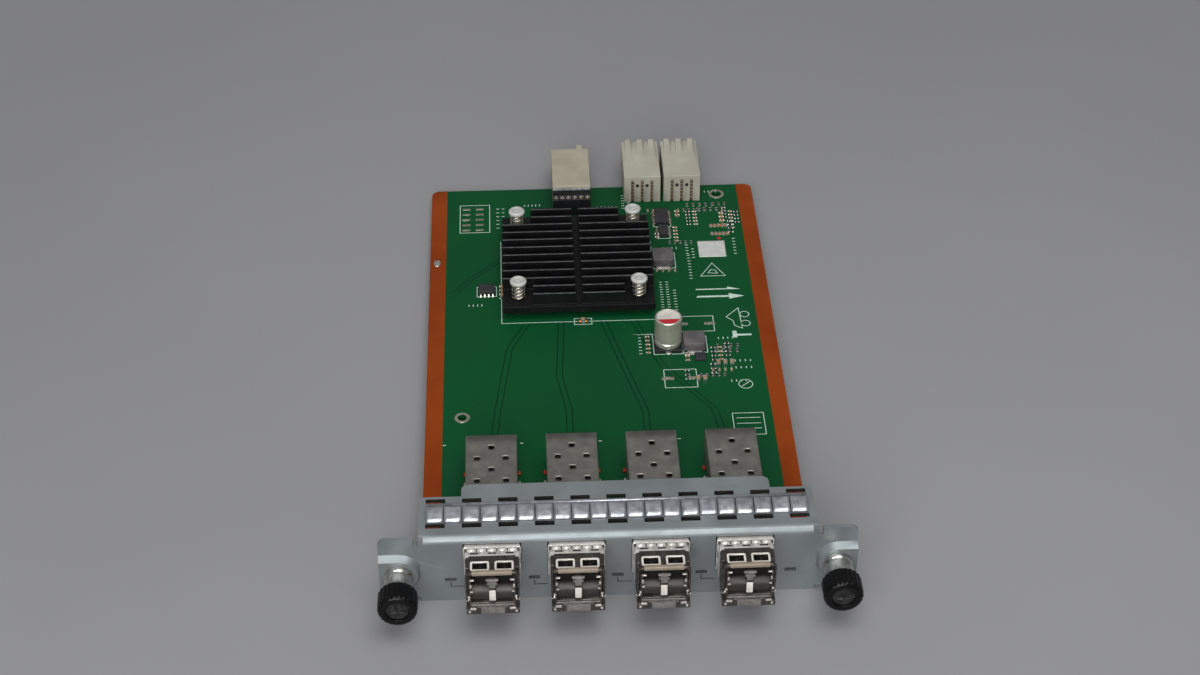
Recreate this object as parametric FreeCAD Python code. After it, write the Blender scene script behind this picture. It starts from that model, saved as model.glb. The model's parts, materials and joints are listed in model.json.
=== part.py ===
"""Four-port optical line card for a network switch, component side up.

Millimetres. The origin is the centre of the front panel's back face, the face that seats on the
chassis. +X runs along the panel, +Y is the way the card is pushed in, +Z is the component side.
"""
import FreeCAD, Part
import math
import os

Vector = FreeCAD.Vector
X_AXIS = Vector(1, 0, 0)
Y_AXIS = Vector(0, 1, 0)
Z_AXIS = Vector(0, 0, 1)

# Front panel: one folded sheet
PANEL_HEIGHT = 22.0
PANEL_WIDTH = 103.8
PANEL_SHEET = 1.2
PANEL_BEND_RADIUS = 2.0
FLANGE_DEPTH = 16.2
LUG_DEPTH = 4.5
LUG_WIDTH = 81.6
LUG_CORNER_RADIUS = 2.0
EAR_LENGTH = 10.5
EAR_CORNER_RADIUS = 2.0
EAR_FOOT_RISE = 1.4
EAR_RELIEF_WIDTH = 1.3
EAR_RELIEF_DEPTH = 2.6
BOSS_RADIUS = 5.0
BOSS_RISE = 2.0
BOSS_DRAFT = 1.0

# Slots and gasket on the panel's top flange
SLOT_COUNT = 11
SLOT_PITCH = 9.5
SLOT_LENGTH = 5.1
SLOT_WIDTH = 1.7
REAR_SLOT_INSET = 1.7
FRONT_SLOT_FROM_FACE = 5.1
GASKET_STRIP = 0.15
GASKET_RISE = 1.6
GASKET_SPINE = 1.3
FINGER_SLIT = 0.35
CLIP_LENGTH = 4.2
CLIP_DROP = 1.5

# Status lamps
LAMP_WINDOW_WIDTH = 3.0
LAMP_WINDOW_HEIGHT = 1.3
LAMP_BELOW_BOARD_TOP = 2.3
LAMP_FROM_PORT = 11.1
LAST_LAMP_X = 45.2
LAMP_DEPTH = 1.8

# Circuit board
BOARD_SIDE_GAP = 0.2
BOARD_THICKNESS = 1.6
BOARD_TOP_BELOW_CENTRE = 1.3
BOARD_FRONT_GAP = 0.6
BOARD_BEYOND_CAGES = 132.5
BOARD_CORNER_RADIUS = 2.5
STRIP_WIDTH = 4.9
STRIP_THICKNESS = 0.07
TOOLING_HOLE_RADIUS = 1.3
TOOLING_HOLE_FROM_LEFT = 10.4
TOOLING_HOLE_FROM_CAGES = 19.2
GUIDE_HOLE_RADIUS = 1.6
GUIDE_HOLE_FROM_RIGHT = 11.6
GUIDE_HOLE_FROM_REAR = 5.2

# Brackets between board and panel
BRACKET_SHEET = 1.2
BRACKET_WIDTH = 6.4
BRACKET_DEPTH = 9.0
BRACKET_HEIGHT = 8.5
BRACKET_SCREW_RADIUS = 1.25
BRACKET_SCREW_HEAD_RADIUS = 2.3
BRACKET_SCREW_HEAD_HEIGHT = 1.6
SCREW_HOLE_CLEARANCE = 0.1

# Ports and cages
PORT_COUNT = 4
PORT_PITCH = 21.9
CAGE_WIDTH = 14.0
CAGE_HEIGHT = 9.8
CAGE_LENGTH = 48.0
CAGE_OUT_OF_PANEL = 4.7
CAGE_SHEET = 0.3
CAGE_FLOOR_OPENING = 12.0
VENT_RADIUS = 0.85
VENT_PITCH = 4.5
VENT_SIDE_OFFSET = 3.9
VENT_FROM_REAR = 5.0
VENT_ROWS = 4
COLLAR_SHEET = 0.2
COLLAR_GAP = 0.02
COLLAR_BAND = 2.2
COLLAR_TOP_FINGERS = 5
COLLAR_BOTTOM_FINGERS = 2
COLLAR_SIDE_FINGERS = 1
COLLAR_SLIT = 0.3
COLLAR_LENGTH = 6.6
COLLAR_BOW = 0.2
OPENING_CLEARANCE = 0.15

# Host connector in each cage
HOST_WIDTH = 11.2
HOST_HEIGHT = 6.0
HOST_DEPTH = 6.6
HOST_FROM_CAGE_REAR = 0.9
HOST_SLOT_DEPTH = 4.2
HOST_SLOT_CLEARANCE = 0.1

# Transceiver
SHELL_SIDE_CLEARANCE = 0.1
SHELL_BODY_HEIGHT = 8.5
SHELL_FLOOR_CLEARANCE = 0.15
SHELL_SHORT_OF_HOST = 0.6
NOSE_OUT_OF_CAGE = 9.2
NOSE_WIDTH = 12.0
NOSE_BELOW_BOARD_TOP = 1.2
NOSE_HEIGHT = 12.1
NOSE_SHOULDER = 3.9
NOSE_SHOULDER_WIDTH = 13.7
NOSE_SHOULDER_DROP = 0.5
NOSE_CAGE_GAP = 0.3
NOSE_SKIRT_HEIGHT = 1.6
FIBRE_PITCH = 6.25
FIBRE_PORT_WIDTH = 4.6
FIBRE_PORT_HEIGHT = 4.9
FIBRE_PORT_FLOOR = 4.1
FIBRE_PORT_DEPTH = 11.0
LATCH_WELL_DEPTH = 2.7
LATCH_WELL_STEP = 0.4
LATCH_WELL_STEP_WIDTH = 3.4
WINDOW_WIDTH = 4.0
WINDOW_LENGTH = 2.55
WINDOW_DEPTH = 1.5
WINDOW_FROM_CAGE = 2.95
WINDOW_RIM = 0.45
WINDOW_RIM_RISE = 0.25
LIP_TAB_WIDTH = 7.9
LIP_TAB_HEIGHT = 2.4
LIP_TAB_RISE = 0.4
INNER_WALL = 1.1
INNER_BOARD_WIDTH = 9.6
INNER_BOARD_THICKNESS = 1.0
INNER_BOARD_HEIGHT = 3.4
INNER_BOARD_LENGTH = 24.0
BARREL_RADIUS = 1.7
BARREL_LENGTH = 6.0
BARREL_RISE = 2.45

# Bail
BAIL_STRAP = 0.75
BAIL_STRAP_WIDTH = 1.0
BAIL_SIDE_CLEARANCE = 0.15
BAIL_PIVOT_BEHIND_NOSE = 2.2
BAIL_PIVOT_RISE = 3.2
BAIL_REACH = 9.95
BAIL_PIN_RADIUS = 0.5
BAIL_PIN_CLEARANCE = 0.05
BAIL_PIN_LENGTH = 0.75
BAIL_LEAN = -0.65
GRIP_WIDTH = 10.3
GRIP_DEPTH = 1.3
GRIP_HEIGHT = 1.15
GRIP_CORNER = 0.25

# Thumb screws
SCREW_FROM_EAR_END = 5.1
SCREW_RADIUS = 1.5
SCREW_TIP_OUT = 2.8
SCREW_HEAD_RADIUS = 2.9
SCREW_HEAD_THICKNESS = 0.7
SCREW_CROSS_LENGTH = 3.8
SCREW_CROSS_WIDTH = 0.8
SCREW_CROSS_DEPTH = 0.4
SCREW_RING_RADIUS = 2.3
SCREW_RING_THICKNESS = 0.6
SCREW_RING_GAP = 0.05
FERRULE_RADIUS = 3.9
FERRULE_LENGTH = 6.9
FERRULE_BORE_RADIUS = 3.0
FERRULE_NECK_RADIUS = 2.5
FERRULE_SHOULDER = 0.7
FERRULE_SCREW_CLEARANCE = 0.08
KNOB_RADIUS = 5.2
KNOB_LENGTH = 6.3
KNOB_BORE_CLEARANCE = 0.3
KNOB_OVERLAP = 0.3
KNOB_WEB = 1.2
KNOB_RECESS_RADIUS = 3.0
KNOB_RECESS_DEPTH = 0.9
KNOB_CHAMFER = 0.5
KNOB_FLUTES = 12
KNOB_FLUTE_SHARE = 0.42
KNOB_FLUTE_DEPTH = 0.35
SCREW_SPRING_RADIUS = 2.2
SCREW_SPRING_WIRE = 0.45
SCREW_SPRING_TURNS = 3

# Heatsink, chip and push pins
HEATSINK_X = -6.4
HEATSINK_FROM_CAGES = 86.6
HEATSINK_WIDTH = 45.6
HEATSINK_LENGTH = 46.4
HEATSINK_BASE = 2.4
HEATSINK_FIN_HEIGHT = 4.0
HEATSINK_FIN_THICKNESS = 0.8
HEATSINK_FINS = 12
HEATSINK_FIN_MARGIN = 1.0
HEATSINK_CHANNEL = 2.0
HEATSINK_CORNER_WIDTH = 9.0
HEATSINK_SHORT_FINS = 2
CHIP_SIDE = 23.0
CHIP_HEIGHT = 2.0
PAD_SIDE = 20.0
PAD_THICKNESS = 0.6
PIN_SPACING = 36.2
PIN_HEAD_RADIUS = 2.5
PIN_HEAD_THICKNESS = 1.2
PIN_STEM_RADIUS = 1.3
PIN_HOLE_CLEARANCE = 0.15
PIN_SPRING_LENGTH = 5.3
PIN_SPRING_RADIUS = 1.85
PIN_SPRING_WIRE = 0.5
PIN_SPRING_TURNS = 3
PIN_BARB_RADIUS = 1.75
PIN_BARB_LENGTH = 1.8

# Rear signal connector
SIGNAL_X = -6.9
SIGNAL_WIDTH = 12.0
SIGNAL_HEIGHT = 9.5
SIGNAL_LENGTH = 21.0
SIGNAL_PAST_BOARD = 8.8
SIGNAL_DROP = 1.2
SIGNAL_KEY_X = 3.2
SIGNAL_KEY_WIDTH = 1.9
SIGNAL_KEY_LENGTH = 2.4
SIGNAL_WAFERS = 6
WAFER_STEP_LENGTH = 2.2
WAFER_RISER_LENGTH = 1.0
WAFER_STEP_HEIGHT = 6.2
WAFER_RISER_HEIGHT = 8.3
WAFER_RING_RADIUS = 0.6
WAFER_RING_HEIGHT = 0.4
SHIELD_THICKNESS = 0.4

# Rear power connectors
POWER_X = (15.9, 28.6)
POWER_WIDTH = 11.7
POWER_HEIGHT = 9.8
POWER_BASE_LENGTH = 8.8
POWER_MATE_LENGTH = 11.7
POWER_DROP = 1.6
POWER_WAYS = 3
POWER_WAY_PITCH = 3.1
POWER_SOCKET_WIDTH = 1.6
POWER_SOCKET_HEIGHT = 7.6
POWER_SOCKET_DEPTH = 9.0
POWER_RIDGE_PITCH = 3.8
POWER_RIDGE_WIDTH = 1.9
POWER_RIDGE_LENGTH = 9.0
POWER_RIDGE_RISE = 0.9
POWER_GROOVE_WIDTH = 0.9
POWER_GROOVE_DEPTH = 0.8
POWER_GROOVE_HEIGHT = 8.4
POWER_LEAD_WIDTH = 0.6

# Components on the board. A place is a centre: X, or the distance in from the board's right edge where
# the name says so, then the distance behind the cages. A size runs along X, Y and Z.
CAPACITOR_PLACE = (19.2, 49.9)
CAPACITOR_RADIUS = 4.0
CAPACITOR_HEIGHT = 10.5
CAPACITOR_BASE_SIDE = 8.3
CAPACITOR_BASE_HEIGHT = 1.1
CAPACITOR_GROOVE_HEIGHT = 1.6
CAPACITOR_GROOVE_DEPTH = 0.25
CAPACITOR_TOP_CHAMFER = 0.35
INDUCTOR_PLACES = ((20.4, 91.6), (26.9, 49.6))
INDUCTOR_SIDE = 6.7
INDUCTOR_HEIGHT = 2.8
INDUCTOR_CORNER = 0.6
CHIP_BODY_HEIGHT = 1.5
CHIP_STANDOFF = 0.1
LEAD_THICKNESS = 0.2
LEAD_WIDTH = 0.42
LEAD_REACH = 1.0
MEMORY_CHIP_PLACE = (-34.2, 78.0)
MEMORY_CHIP_SIZE = (4.9, 3.9)
LOGIC_CHIP_PLACE = (21.5, 114.0)
LOGIC_CHIP_SIZE = (4.4, 7.4)
DRIVER_CHIP_PLACE = (21.6, 106.4)
DRIVER_CHIP_SIZE = (3.0, 5.0)
REGULATOR_PLACE = (28.3, 43.2)
REGULATOR_SIDE = 3.2
REGULATOR_HEIGHT = 0.9
LABEL_FROM_RIGHT = (15.5, 97.2)
LABEL_SIDE = 8.5
LABEL_THICKNESS = 0.1
RESISTOR_ACROSS = (1.6, 0.8, 0.45)
RESISTOR_ALONG = (0.8, 1.6, 0.45)
CERAMIC_ACROSS = (1.6, 0.9, 0.8)
CERAMIC_ALONG = (1.25, 2.0, 0.9)
SMALL_PITCH = 2.0
RESISTORS_ALONG_FROM_RIGHT = (((21.5, 121.0), 8.0), ((18.2, 118.4), 6.0))
RESISTORS_ACROSS_FROM_RIGHT = (((8.7, 105.8), 6.0),)
RESISTORS_ALONG = (((33.4, 46.0), 6.0),)
RESISTORS_ACROSS = (((31.8, 36.0), 4.0),)
CERAMICS_ACROSS_FROM_RIGHT = (((11.1, 111.8), 4.0),)
CERAMICS_ACROSS = (((26.6, 115.4), 2.0), ((-29.6, 76.0), 4.0), ((24.6, 44.4), 0.0))
CERAMICS_ALONG = (((33.4, 40.4), 4.0), ((26.9, 33.4), 2.0), ((-5.4, 62.2), 0.0))

# Faces on small round pieces that repeat
SMALL_SIDES = 12
HEAD_SIDES = 14
KNOB_SIDES = 18
ROUND_SIDES = 26
VENT_SIDES = 6
RING_SIDES = 8
SPRING_RUNS = 8

# Derived levels and lines
PANEL_FRONT = -PANEL_SHEET
PANEL_TOP = PANEL_HEIGHT / 2
FLANGE_UNDERSIDE = PANEL_TOP - PANEL_SHEET
FLANGE_REAR = PANEL_FRONT + FLANGE_DEPTH
BOARD_TOP = -BOARD_TOP_BELOW_CENTRE
BOARD_BOTTOM = BOARD_TOP - BOARD_THICKNESS
CAGE_FRONT = PANEL_FRONT - CAGE_OUT_OF_PANEL
CAGE_REAR = CAGE_FRONT + CAGE_LENGTH
BOARD_REAR = CAGE_REAR + BOARD_BEYOND_CAGES
NOSE_FRONT = CAGE_FRONT - NOSE_OUT_OF_CAGE
NOSE_FLOOR = BOARD_TOP - NOSE_BELOW_BOARD_TOP
HEATSINK_Y = CAGE_REAR + HEATSINK_FROM_CAGES
HEATSINK_BASE_TOP = BOARD_TOP + CHIP_HEIGHT + PAD_THICKNESS + HEATSINK_BASE
BOARD_WIDTH = PANEL_WIDTH - 2 * BOARD_SIDE_GAP
BRACKET_X = (BOARD_WIDTH - BRACKET_WIDTH) / 2
BRACKET_SCREW_Y = BRACKET_SHEET + (BRACKET_DEPTH - BRACKET_SHEET) / 2
SCREW_X = PANEL_WIDTH / 2 + EAR_LENGTH - SCREW_FROM_EAR_END
BOSS_FRONT = PANEL_FRONT - BOSS_RISE
FERRULE_FRONT = BOSS_FRONT - FERRULE_LENGTH
KNOB_REAR = FERRULE_FRONT + KNOB_OVERLAP
KNOB_FRONT = KNOB_REAR - KNOB_LENGTH
KNOB_WEB_FRONT = KNOB_FRONT + KNOB_RECESS_DEPTH
KNOB_WEB_REAR = KNOB_WEB_FRONT + KNOB_WEB
PORT_PLACES = [(index - (PORT_COUNT - 1) / 2) * PORT_PITCH for index in range(PORT_COUNT)]


def box(x_span, y_span, z_span):
    """A block between two values on each axis."""
    size = [high - low for low, high in (x_span, y_span, z_span)]
    return Part.makeBox(*size, Vector(x_span[0], y_span[0], z_span[0]))


def centred(centre, width):
    """The span of a width about a centre."""
    return (centre - width / 2, centre + width / 2)


def rod(radius, start, axis, length):
    """A cylinder from a start point along an axis."""
    return Part.makeCylinder(radius, length, Vector(*start), axis)


def flat(*corners):
    """A flat face over its corners."""
    return Part.Face(Part.makePolygon(list(corners) + [corners[0]]))


def solid_of(faces):
    """A solid from the faces that close it, turned the right way out."""
    solid = Part.Solid(Part.Shell(faces))
    if solid.Volume < 0:
        solid.reverse()
    return solid


def skin(rings):
    """A solid with flat sides between successive rings of corners."""
    faces = [flat(*rings[0]), flat(*rings[-1])]
    for near, far in zip(rings, rings[1:]):
        for index in range(len(near)):
            after = (index + 1) % len(near)
            faces.append(flat(near[index], near[after], far[after], far[index]))
    return solid_of(faces)


def faceted(start_radius, end_radius, start, axis, length, sides=SMALL_SIDES):
    """A many-sided bar or taper, for the small round pieces that repeat."""
    turn = FreeCAD.Rotation(Z_AXIS, axis)
    rings = []
    for radius, height in ((start_radius, 0), (end_radius, length)):
        ring = []
        for index in range(sides):
            angle = 2 * math.pi * (index + 0.5) / sides
            spoke = Vector(radius * math.cos(angle), radius * math.sin(angle), height)
            ring.append(Vector(*start) + turn.multVec(spoke))
        rings.append(ring)
    return skin(rings)


def rounded_plate(x_span, y_span, z_span, radius, corners="all"):
    """A plate whose upright corners are rounded; corners picks all, rear or none."""
    plate = box(x_span, y_span, z_span)
    picked = []
    for edge in plate.Edges:
        upright = abs(edge.tangentAt(edge.FirstParameter).z) > 0.9
        at_rear = abs(edge.CenterOfMass.y - y_span[1]) < 1e-6
        if upright and (corners == "all" or at_rear):
            picked.append(edge)
    return plate.makeFillet(radius, picked)


def prism(points, start, along):
    """A straight prism over a closed outline of (a, b) pairs, swept along one axis."""
    if along.x:
        corners = [Vector(start, a, b) for a, b in points]
    elif along.y:
        corners = [Vector(a, start, b) for a, b in points]
    else:
        corners = [Vector(a, b, start) for a, b in points]
    outline = Part.makePolygon(corners + corners[:1])
    return Part.Face(outline).extrude(along)


def join(shapes):
    """One solid from shapes that touch or overlap."""
    whole = shapes[0].fuse(shapes[1:]) if len(shapes) > 1 else shapes[0]
    return whole.removeSplitter()


def group(shapes):
    """Separate solids kept together in one node."""
    return Part.makeCompound(shapes)


def moved(shape, x=0.0, y=0.0, z=0.0):
    """A copy of a shape, shifted."""
    copy = shape.copy()
    copy.translate(Vector(x, y, z))
    return copy


def mirrored(shape):
    """A copy of a shape on the other side of the card's middle plane."""
    return shape.mirror(Vector(0, 0, 0), X_AXIS)


def coil(radius, wire, turns, length, start, axis):
    """A compression spring of square wire in short straight runs, from a start point along an axis."""
    run = length - wire
    half = wire / 2
    section = ((radius - half, 0), (radius + half, 0), (radius + half, wire), (radius - half, wire))
    turn = FreeCAD.Rotation(Z_AXIS, axis)
    steps = turns * SPRING_RUNS
    stations = []
    for step in range(steps + 1):
        angle = 2 * math.pi * step / SPRING_RUNS
        lift = run * step / steps
        corners = [Vector(out * math.cos(angle), out * math.sin(angle), up + lift) for out, up in section]
        stations.append([Vector(*start) + turn.multVec(corner) for corner in corners])

    faces = [flat(*stations[0]), flat(*stations[-1])]
    for near, far in zip(stations, stations[1:]):
        for index in range(4):
            after = (index + 1) % 4
            faces.append(flat(near[index], near[after], far[after]))
            faces.append(flat(near[index], far[after], far[index]))
    return solid_of(faces)


def save(node, shape):
    """Write one node's file."""
    shape.exportStep(os.path.join("parts", node + ".step"))


# ---------------------------------------------------------------- front panel

def panel_section():
    """The folded sheet's section: upright face, bend and top flange, swept across the width."""
    inner_radius = PANEL_BEND_RADIUS - PANEL_SHEET
    bend_y = PANEL_FRONT + PANEL_BEND_RADIUS
    bend_z = PANEL_TOP - PANEL_BEND_RADIUS
    turn = math.sqrt(0.5)
    left = -PANEL_WIDTH / 2

    def point(y, z):
        return Vector(left, y, z)

    foot = -PANEL_TOP
    outer_mid = point(bend_y - PANEL_BEND_RADIUS * turn, bend_z + PANEL_BEND_RADIUS * turn)
    inner_mid = point(bend_y - inner_radius * turn, bend_z + inner_radius * turn)
    edges = [
        Part.LineSegment(point(PANEL_FRONT, foot), point(PANEL_FRONT, bend_z)).toShape(),
        Part.Arc(point(PANEL_FRONT, bend_z), outer_mid, point(bend_y, PANEL_TOP)).toShape(),
        Part.LineSegment(point(bend_y, PANEL_TOP), point(FLANGE_REAR, PANEL_TOP)).toShape(),
        Part.LineSegment(point(FLANGE_REAR, PANEL_TOP), point(FLANGE_REAR, FLANGE_UNDERSIDE)).toShape(),
        Part.LineSegment(point(FLANGE_REAR, FLANGE_UNDERSIDE), point(bend_y, FLANGE_UNDERSIDE)).toShape(),
        Part.Arc(point(bend_y, FLANGE_UNDERSIDE), inner_mid, point(0, bend_z)).toShape(),
        Part.LineSegment(point(0, bend_z), point(0, foot)).toShape(),
        Part.LineSegment(point(0, foot), point(PANEL_FRONT, foot)).toShape(),
    ]
    return Part.Face(Part.Wire(edges)).extrude(Vector(PANEL_WIDTH, 0, 0))


def boss_block(back, front, grow):
    """The pressing's form: a tapered round end about the screw, running out past the ear's outer end."""
    wide = BOSS_RADIUS + BOSS_DRAFT + grow
    narrow = BOSS_RADIUS + grow
    end = faceted(wide, narrow, (SCREW_X, back, 0), Y_AXIS * -1, back - front, KNOB_SIDES)
    outline = [(back, -wide), (back, wide), (front, narrow), (front, -narrow)]
    return join([end, prism(outline, SCREW_X, X_AXIS * EAR_LENGTH)])


def ear():
    """The right ear: a flat tab with a pressed boss that carries the thumb screw."""
    inner = PANEL_WIDTH / 2
    outer = inner + EAR_LENGTH
    tab = box((inner - PANEL_SHEET, outer), (PANEL_FRONT, 0), (-PANEL_TOP + EAR_FOOT_RISE, PANEL_TOP))
    corners = [edge for edge in tab.Edges
               if abs(edge.tangentAt(edge.FirstParameter).y) > 0.9
               and abs(edge.CenterOfMass.x - outer) < 1e-6]
    tab = tab.makeFillet(EAR_CORNER_RADIUS, corners)
    relief = box((inner, inner + EAR_RELIEF_WIDTH), (PANEL_FRONT, 0),
                 (PANEL_TOP - EAR_RELIEF_DEPTH, PANEL_TOP))
    outside = boss_block(PANEL_FRONT, BOSS_FRONT, 0.0)
    inside = boss_block(0, BOSS_FRONT + PANEL_SHEET, -PANEL_SHEET / 2)
    limit = box((inner, outer), (BOSS_FRONT, 0), (-PANEL_TOP, PANEL_TOP))
    pressed = tab.fuse(outside.common(limit)).cut(inside)
    hole = faceted(FERRULE_NECK_RADIUS, FERRULE_NECK_RADIUS, (SCREW_X, BOSS_FRONT, 0), Y_AXIS, PANEL_SHEET)
    return pressed.cut(relief).cut(hole)


def slot_centres():
    """X of each slot in a row."""
    return [(index - (SLOT_COUNT - 1) / 2) * SLOT_PITCH for index in range(SLOT_COUNT)]


def rear_slot_span():
    """Y span of the rear slot row."""
    rear = FLANGE_REAR - REAR_SLOT_INSET + SLOT_WIDTH / 2
    return (rear - SLOT_WIDTH, rear)


def front_slot_span():
    """Y span of the front slot row."""
    return centred(PANEL_FRONT + FRONT_SLOT_FROM_FACE, SLOT_WIDTH)


def lamp_places():
    """X of each lamp window: one beside each port and one at the right end."""
    return [x - LAMP_FROM_PORT for x in PORT_PLACES] + [LAST_LAMP_X]


def opening_spans():
    """Half width and Z span of a port opening in the panel, round the cage's collar."""
    around = COLLAR_GAP + COLLAR_SHEET + COLLAR_BOW + OPENING_CLEARANCE
    half = CAGE_WIDTH / 2 + around
    return half, (BOARD_TOP - around, BOARD_TOP + CAGE_HEIGHT + around)


def front_panel():
    """Folded sheet with openings, slots, lamp windows, ears and rear lug."""
    lug = rounded_plate(centred(0, LUG_WIDTH), (FLANGE_REAR - PANEL_SHEET, FLANGE_REAR + LUG_DEPTH),
                        (FLANGE_UNDERSIDE, PANEL_TOP), LUG_CORNER_RADIUS, "rear")
    sheet = join([panel_section(), lug, ear(), mirrored(ear())])
    half, rise = opening_spans()
    through = (PANEL_FRONT - 1, 1)
    tools = [box((x - half, x + half), through, rise) for x in PORT_PLACES]
    lamp_z = centred(BOARD_TOP - LAMP_BELOW_BOARD_TOP, LAMP_WINDOW_HEIGHT)
    tools += [box(centred(x, LAMP_WINDOW_WIDTH), through, lamp_z) for x in lamp_places()]
    down = (FLANGE_UNDERSIDE - 1, PANEL_TOP + 1)
    for span in (rear_slot_span(), front_slot_span()):
        tools += [box(centred(x, SLOT_LENGTH), span, down) for x in slot_centres()]
    return sheet.cut(tools)


def emi_gasket():
    """A strip of arched spring fingers clipped into the flange's rear slots."""
    rear = rear_slot_span()[0] + GASKET_STRIP
    front = front_slot_span()[1] - GASKET_STRIP
    spine_front = rear - GASKET_SPINE
    run = spine_front - front
    length = (SLOT_COUNT - 1) * SLOT_PITCH + SLOT_LENGTH
    low = [(rear, 0), (spine_front, 0), (spine_front - run * 0.3, GASKET_RISE),
           (spine_front - run * 0.65, GASKET_RISE), (front, 0)]
    high = [(y, z + GASKET_STRIP) for y, z in reversed(low)]
    outline = [(y, PANEL_TOP + z) for y, z in low + high]
    strip = prism(outline, -length / 2, X_AXIS * length)
    count = 2 * SLOT_COUNT - 2
    slits = [box(centred((index - (count - 1) / 2) * SLOT_PITCH / 2, FINGER_SLIT), (front - 1, spine_front),
                 (PANEL_TOP - 1, PANEL_TOP + GASKET_RISE + 1)) for index in range(count)]
    clips = [box(centred(x, CLIP_LENGTH), (rear - GASKET_STRIP, rear),
                 (PANEL_TOP - CLIP_DROP, PANEL_TOP + GASKET_STRIP)) for x in slot_centres()]
    return strip.cut(slits).fuse(clips).removeSplitter()


# -------------------------------------------------------------- circuit board

def pin_places():
    """Centres of the four push pins."""
    half = PIN_SPACING / 2
    return [(HEATSINK_X + sx * half, HEATSINK_Y + sy * half) for sx in (-1, 1) for sy in (-1, 1)]


def tooling_hole():
    """Centre of the small plated hole behind the left cage."""
    return (-BOARD_WIDTH / 2 + TOOLING_HOLE_FROM_LEFT, CAGE_REAR + TOOLING_HOLE_FROM_CAGES)


def guide_hole():
    """Centre of the larger plated hole at the rear right corner."""
    return (BOARD_WIDTH / 2 - GUIDE_HOLE_FROM_RIGHT, BOARD_REAR - GUIDE_HOLE_FROM_REAR)


def circuit_board():
    """Board with rounded rear corners and its drilled holes."""
    plate = rounded_plate(centred(0, BOARD_WIDTH), (BOARD_FRONT_GAP, BOARD_REAR),
                          (BOARD_BOTTOM, BOARD_TOP), BOARD_CORNER_RADIUS, "rear")
    tools = [rod(TOOLING_HOLE_RADIUS, (*tooling_hole(), BOARD_BOTTOM), Z_AXIS, BOARD_THICKNESS),
             rod(GUIDE_HOLE_RADIUS, (*guide_hole(), BOARD_BOTTOM), Z_AXIS, BOARD_THICKNESS)]
    filled = [(place, PIN_STEM_RADIUS + PIN_HOLE_CLEARANCE) for place in pin_places()]
    filled += [((side * BRACKET_X, BRACKET_SCREW_Y), BRACKET_SCREW_RADIUS + SCREW_HOLE_CLEARANCE)
               for side in (-1, 1)]
    tools += [faceted(radius, radius, (*place, BOARD_BOTTOM), Z_AXIS, BOARD_THICKNESS)
              for place, radius in filled]
    return plate.cut(tools)


def edge_strips():
    """Bare strips on both faces of the board along its long edges, where the card guides run."""
    strips = []
    bracket_rear = BRACKET_DEPTH + BOARD_FRONT_GAP
    for side in (-1, 1):
        outer = side * BOARD_WIDTH / 2
        inner = outer - side * STRIP_WIDTH
        span = (min(inner, outer), max(inner, outer))
        for low in (BOARD_TOP, BOARD_BOTTOM - STRIP_THICKNESS):
            levels = (low, low + STRIP_THICKNESS)
            face = rounded_plate(centred(0, BOARD_WIDTH), (bracket_rear, BOARD_REAR), levels,
                                 BOARD_CORNER_RADIUS, "rear")
            strips.append(face.common(box(span, (bracket_rear, BOARD_REAR), levels)))
    return group(strips)


def board_bracket(x):
    """Angle bracket from the panel's back face to the board's top."""
    span = centred(x, BRACKET_WIDTH)
    upright = box(span, (0, BRACKET_SHEET), (BOARD_TOP, BOARD_TOP + BRACKET_HEIGHT))
    foot = box(span, (0, BRACKET_DEPTH), (BOARD_TOP, BOARD_TOP + BRACKET_SHEET))
    hole = faceted(BRACKET_SCREW_RADIUS, BRACKET_SCREW_RADIUS, (x, BRACKET_SCREW_Y, BOARD_TOP), Z_AXIS,
                   BRACKET_SHEET)
    return join([upright, foot]).cut(hole)


def bracket_screw(x):
    """Pan-head screw from under the board into its bracket."""
    head_low = BOARD_BOTTOM - BRACKET_SCREW_HEAD_HEIGHT
    head = faceted(BRACKET_SCREW_HEAD_RADIUS, BRACKET_SCREW_HEAD_RADIUS, (x, BRACKET_SCREW_Y, head_low), Z_AXIS,
                   BRACKET_SCREW_HEAD_HEIGHT, HEAD_SIDES)
    stem = faceted(BRACKET_SCREW_RADIUS, BRACKET_SCREW_RADIUS, (x, BRACKET_SCREW_Y, BOARD_BOTTOM), Z_AXIS,
                   BOARD_THICKNESS + BRACKET_SHEET)
    return join([head, stem])


def status_lamps():
    """Side-view lamps on the board's underside, each behind a window of the panel."""
    z = (BOARD_BOTTOM - LAMP_WINDOW_HEIGHT, BOARD_BOTTOM)
    return group([box(centred(x, LAMP_WINDOW_WIDTH), (BOARD_FRONT_GAP, BOARD_FRONT_GAP + LAMP_DEPTH), z)
                  for x in lamp_places()])


# ---------------------------------------------------------------------- cages

def cage(x):
    """Folded sheet cage: closed rear, vents in its roof, floor open over the host connector."""
    outside = box(centred(x, CAGE_WIDTH), (CAGE_FRONT, CAGE_REAR), (BOARD_TOP, BOARD_TOP + CAGE_HEIGHT))
    inside = box(centred(x, CAGE_WIDTH - 2 * CAGE_SHEET), (CAGE_FRONT - 1, CAGE_REAR - CAGE_SHEET),
                 (BOARD_TOP + CAGE_SHEET, BOARD_TOP + CAGE_HEIGHT - CAGE_SHEET))
    floor = box(centred(x, CAGE_WIDTH - 2 * CAGE_SHEET),
                (CAGE_REAR - CAGE_FLOOR_OPENING, CAGE_REAR - CAGE_SHEET),
                (BOARD_TOP - 1, BOARD_TOP + CAGE_HEIGHT / 2))
    tools = [inside, floor]
    for row in range(VENT_ROWS):
        y = CAGE_REAR - VENT_FROM_REAR - row * VENT_PITCH
        offsets = (0,) if row % 2 == 0 else (-VENT_SIDE_OFFSET, VENT_SIDE_OFFSET)
        for offset in offsets:
            start = (x + offset, y, BOARD_TOP + CAGE_HEIGHT - 1)
            tools.append(faceted(VENT_RADIUS, VENT_RADIUS, start, Z_AXIS, 2, VENT_SIDES))
    return outside.cut(tools)


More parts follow.
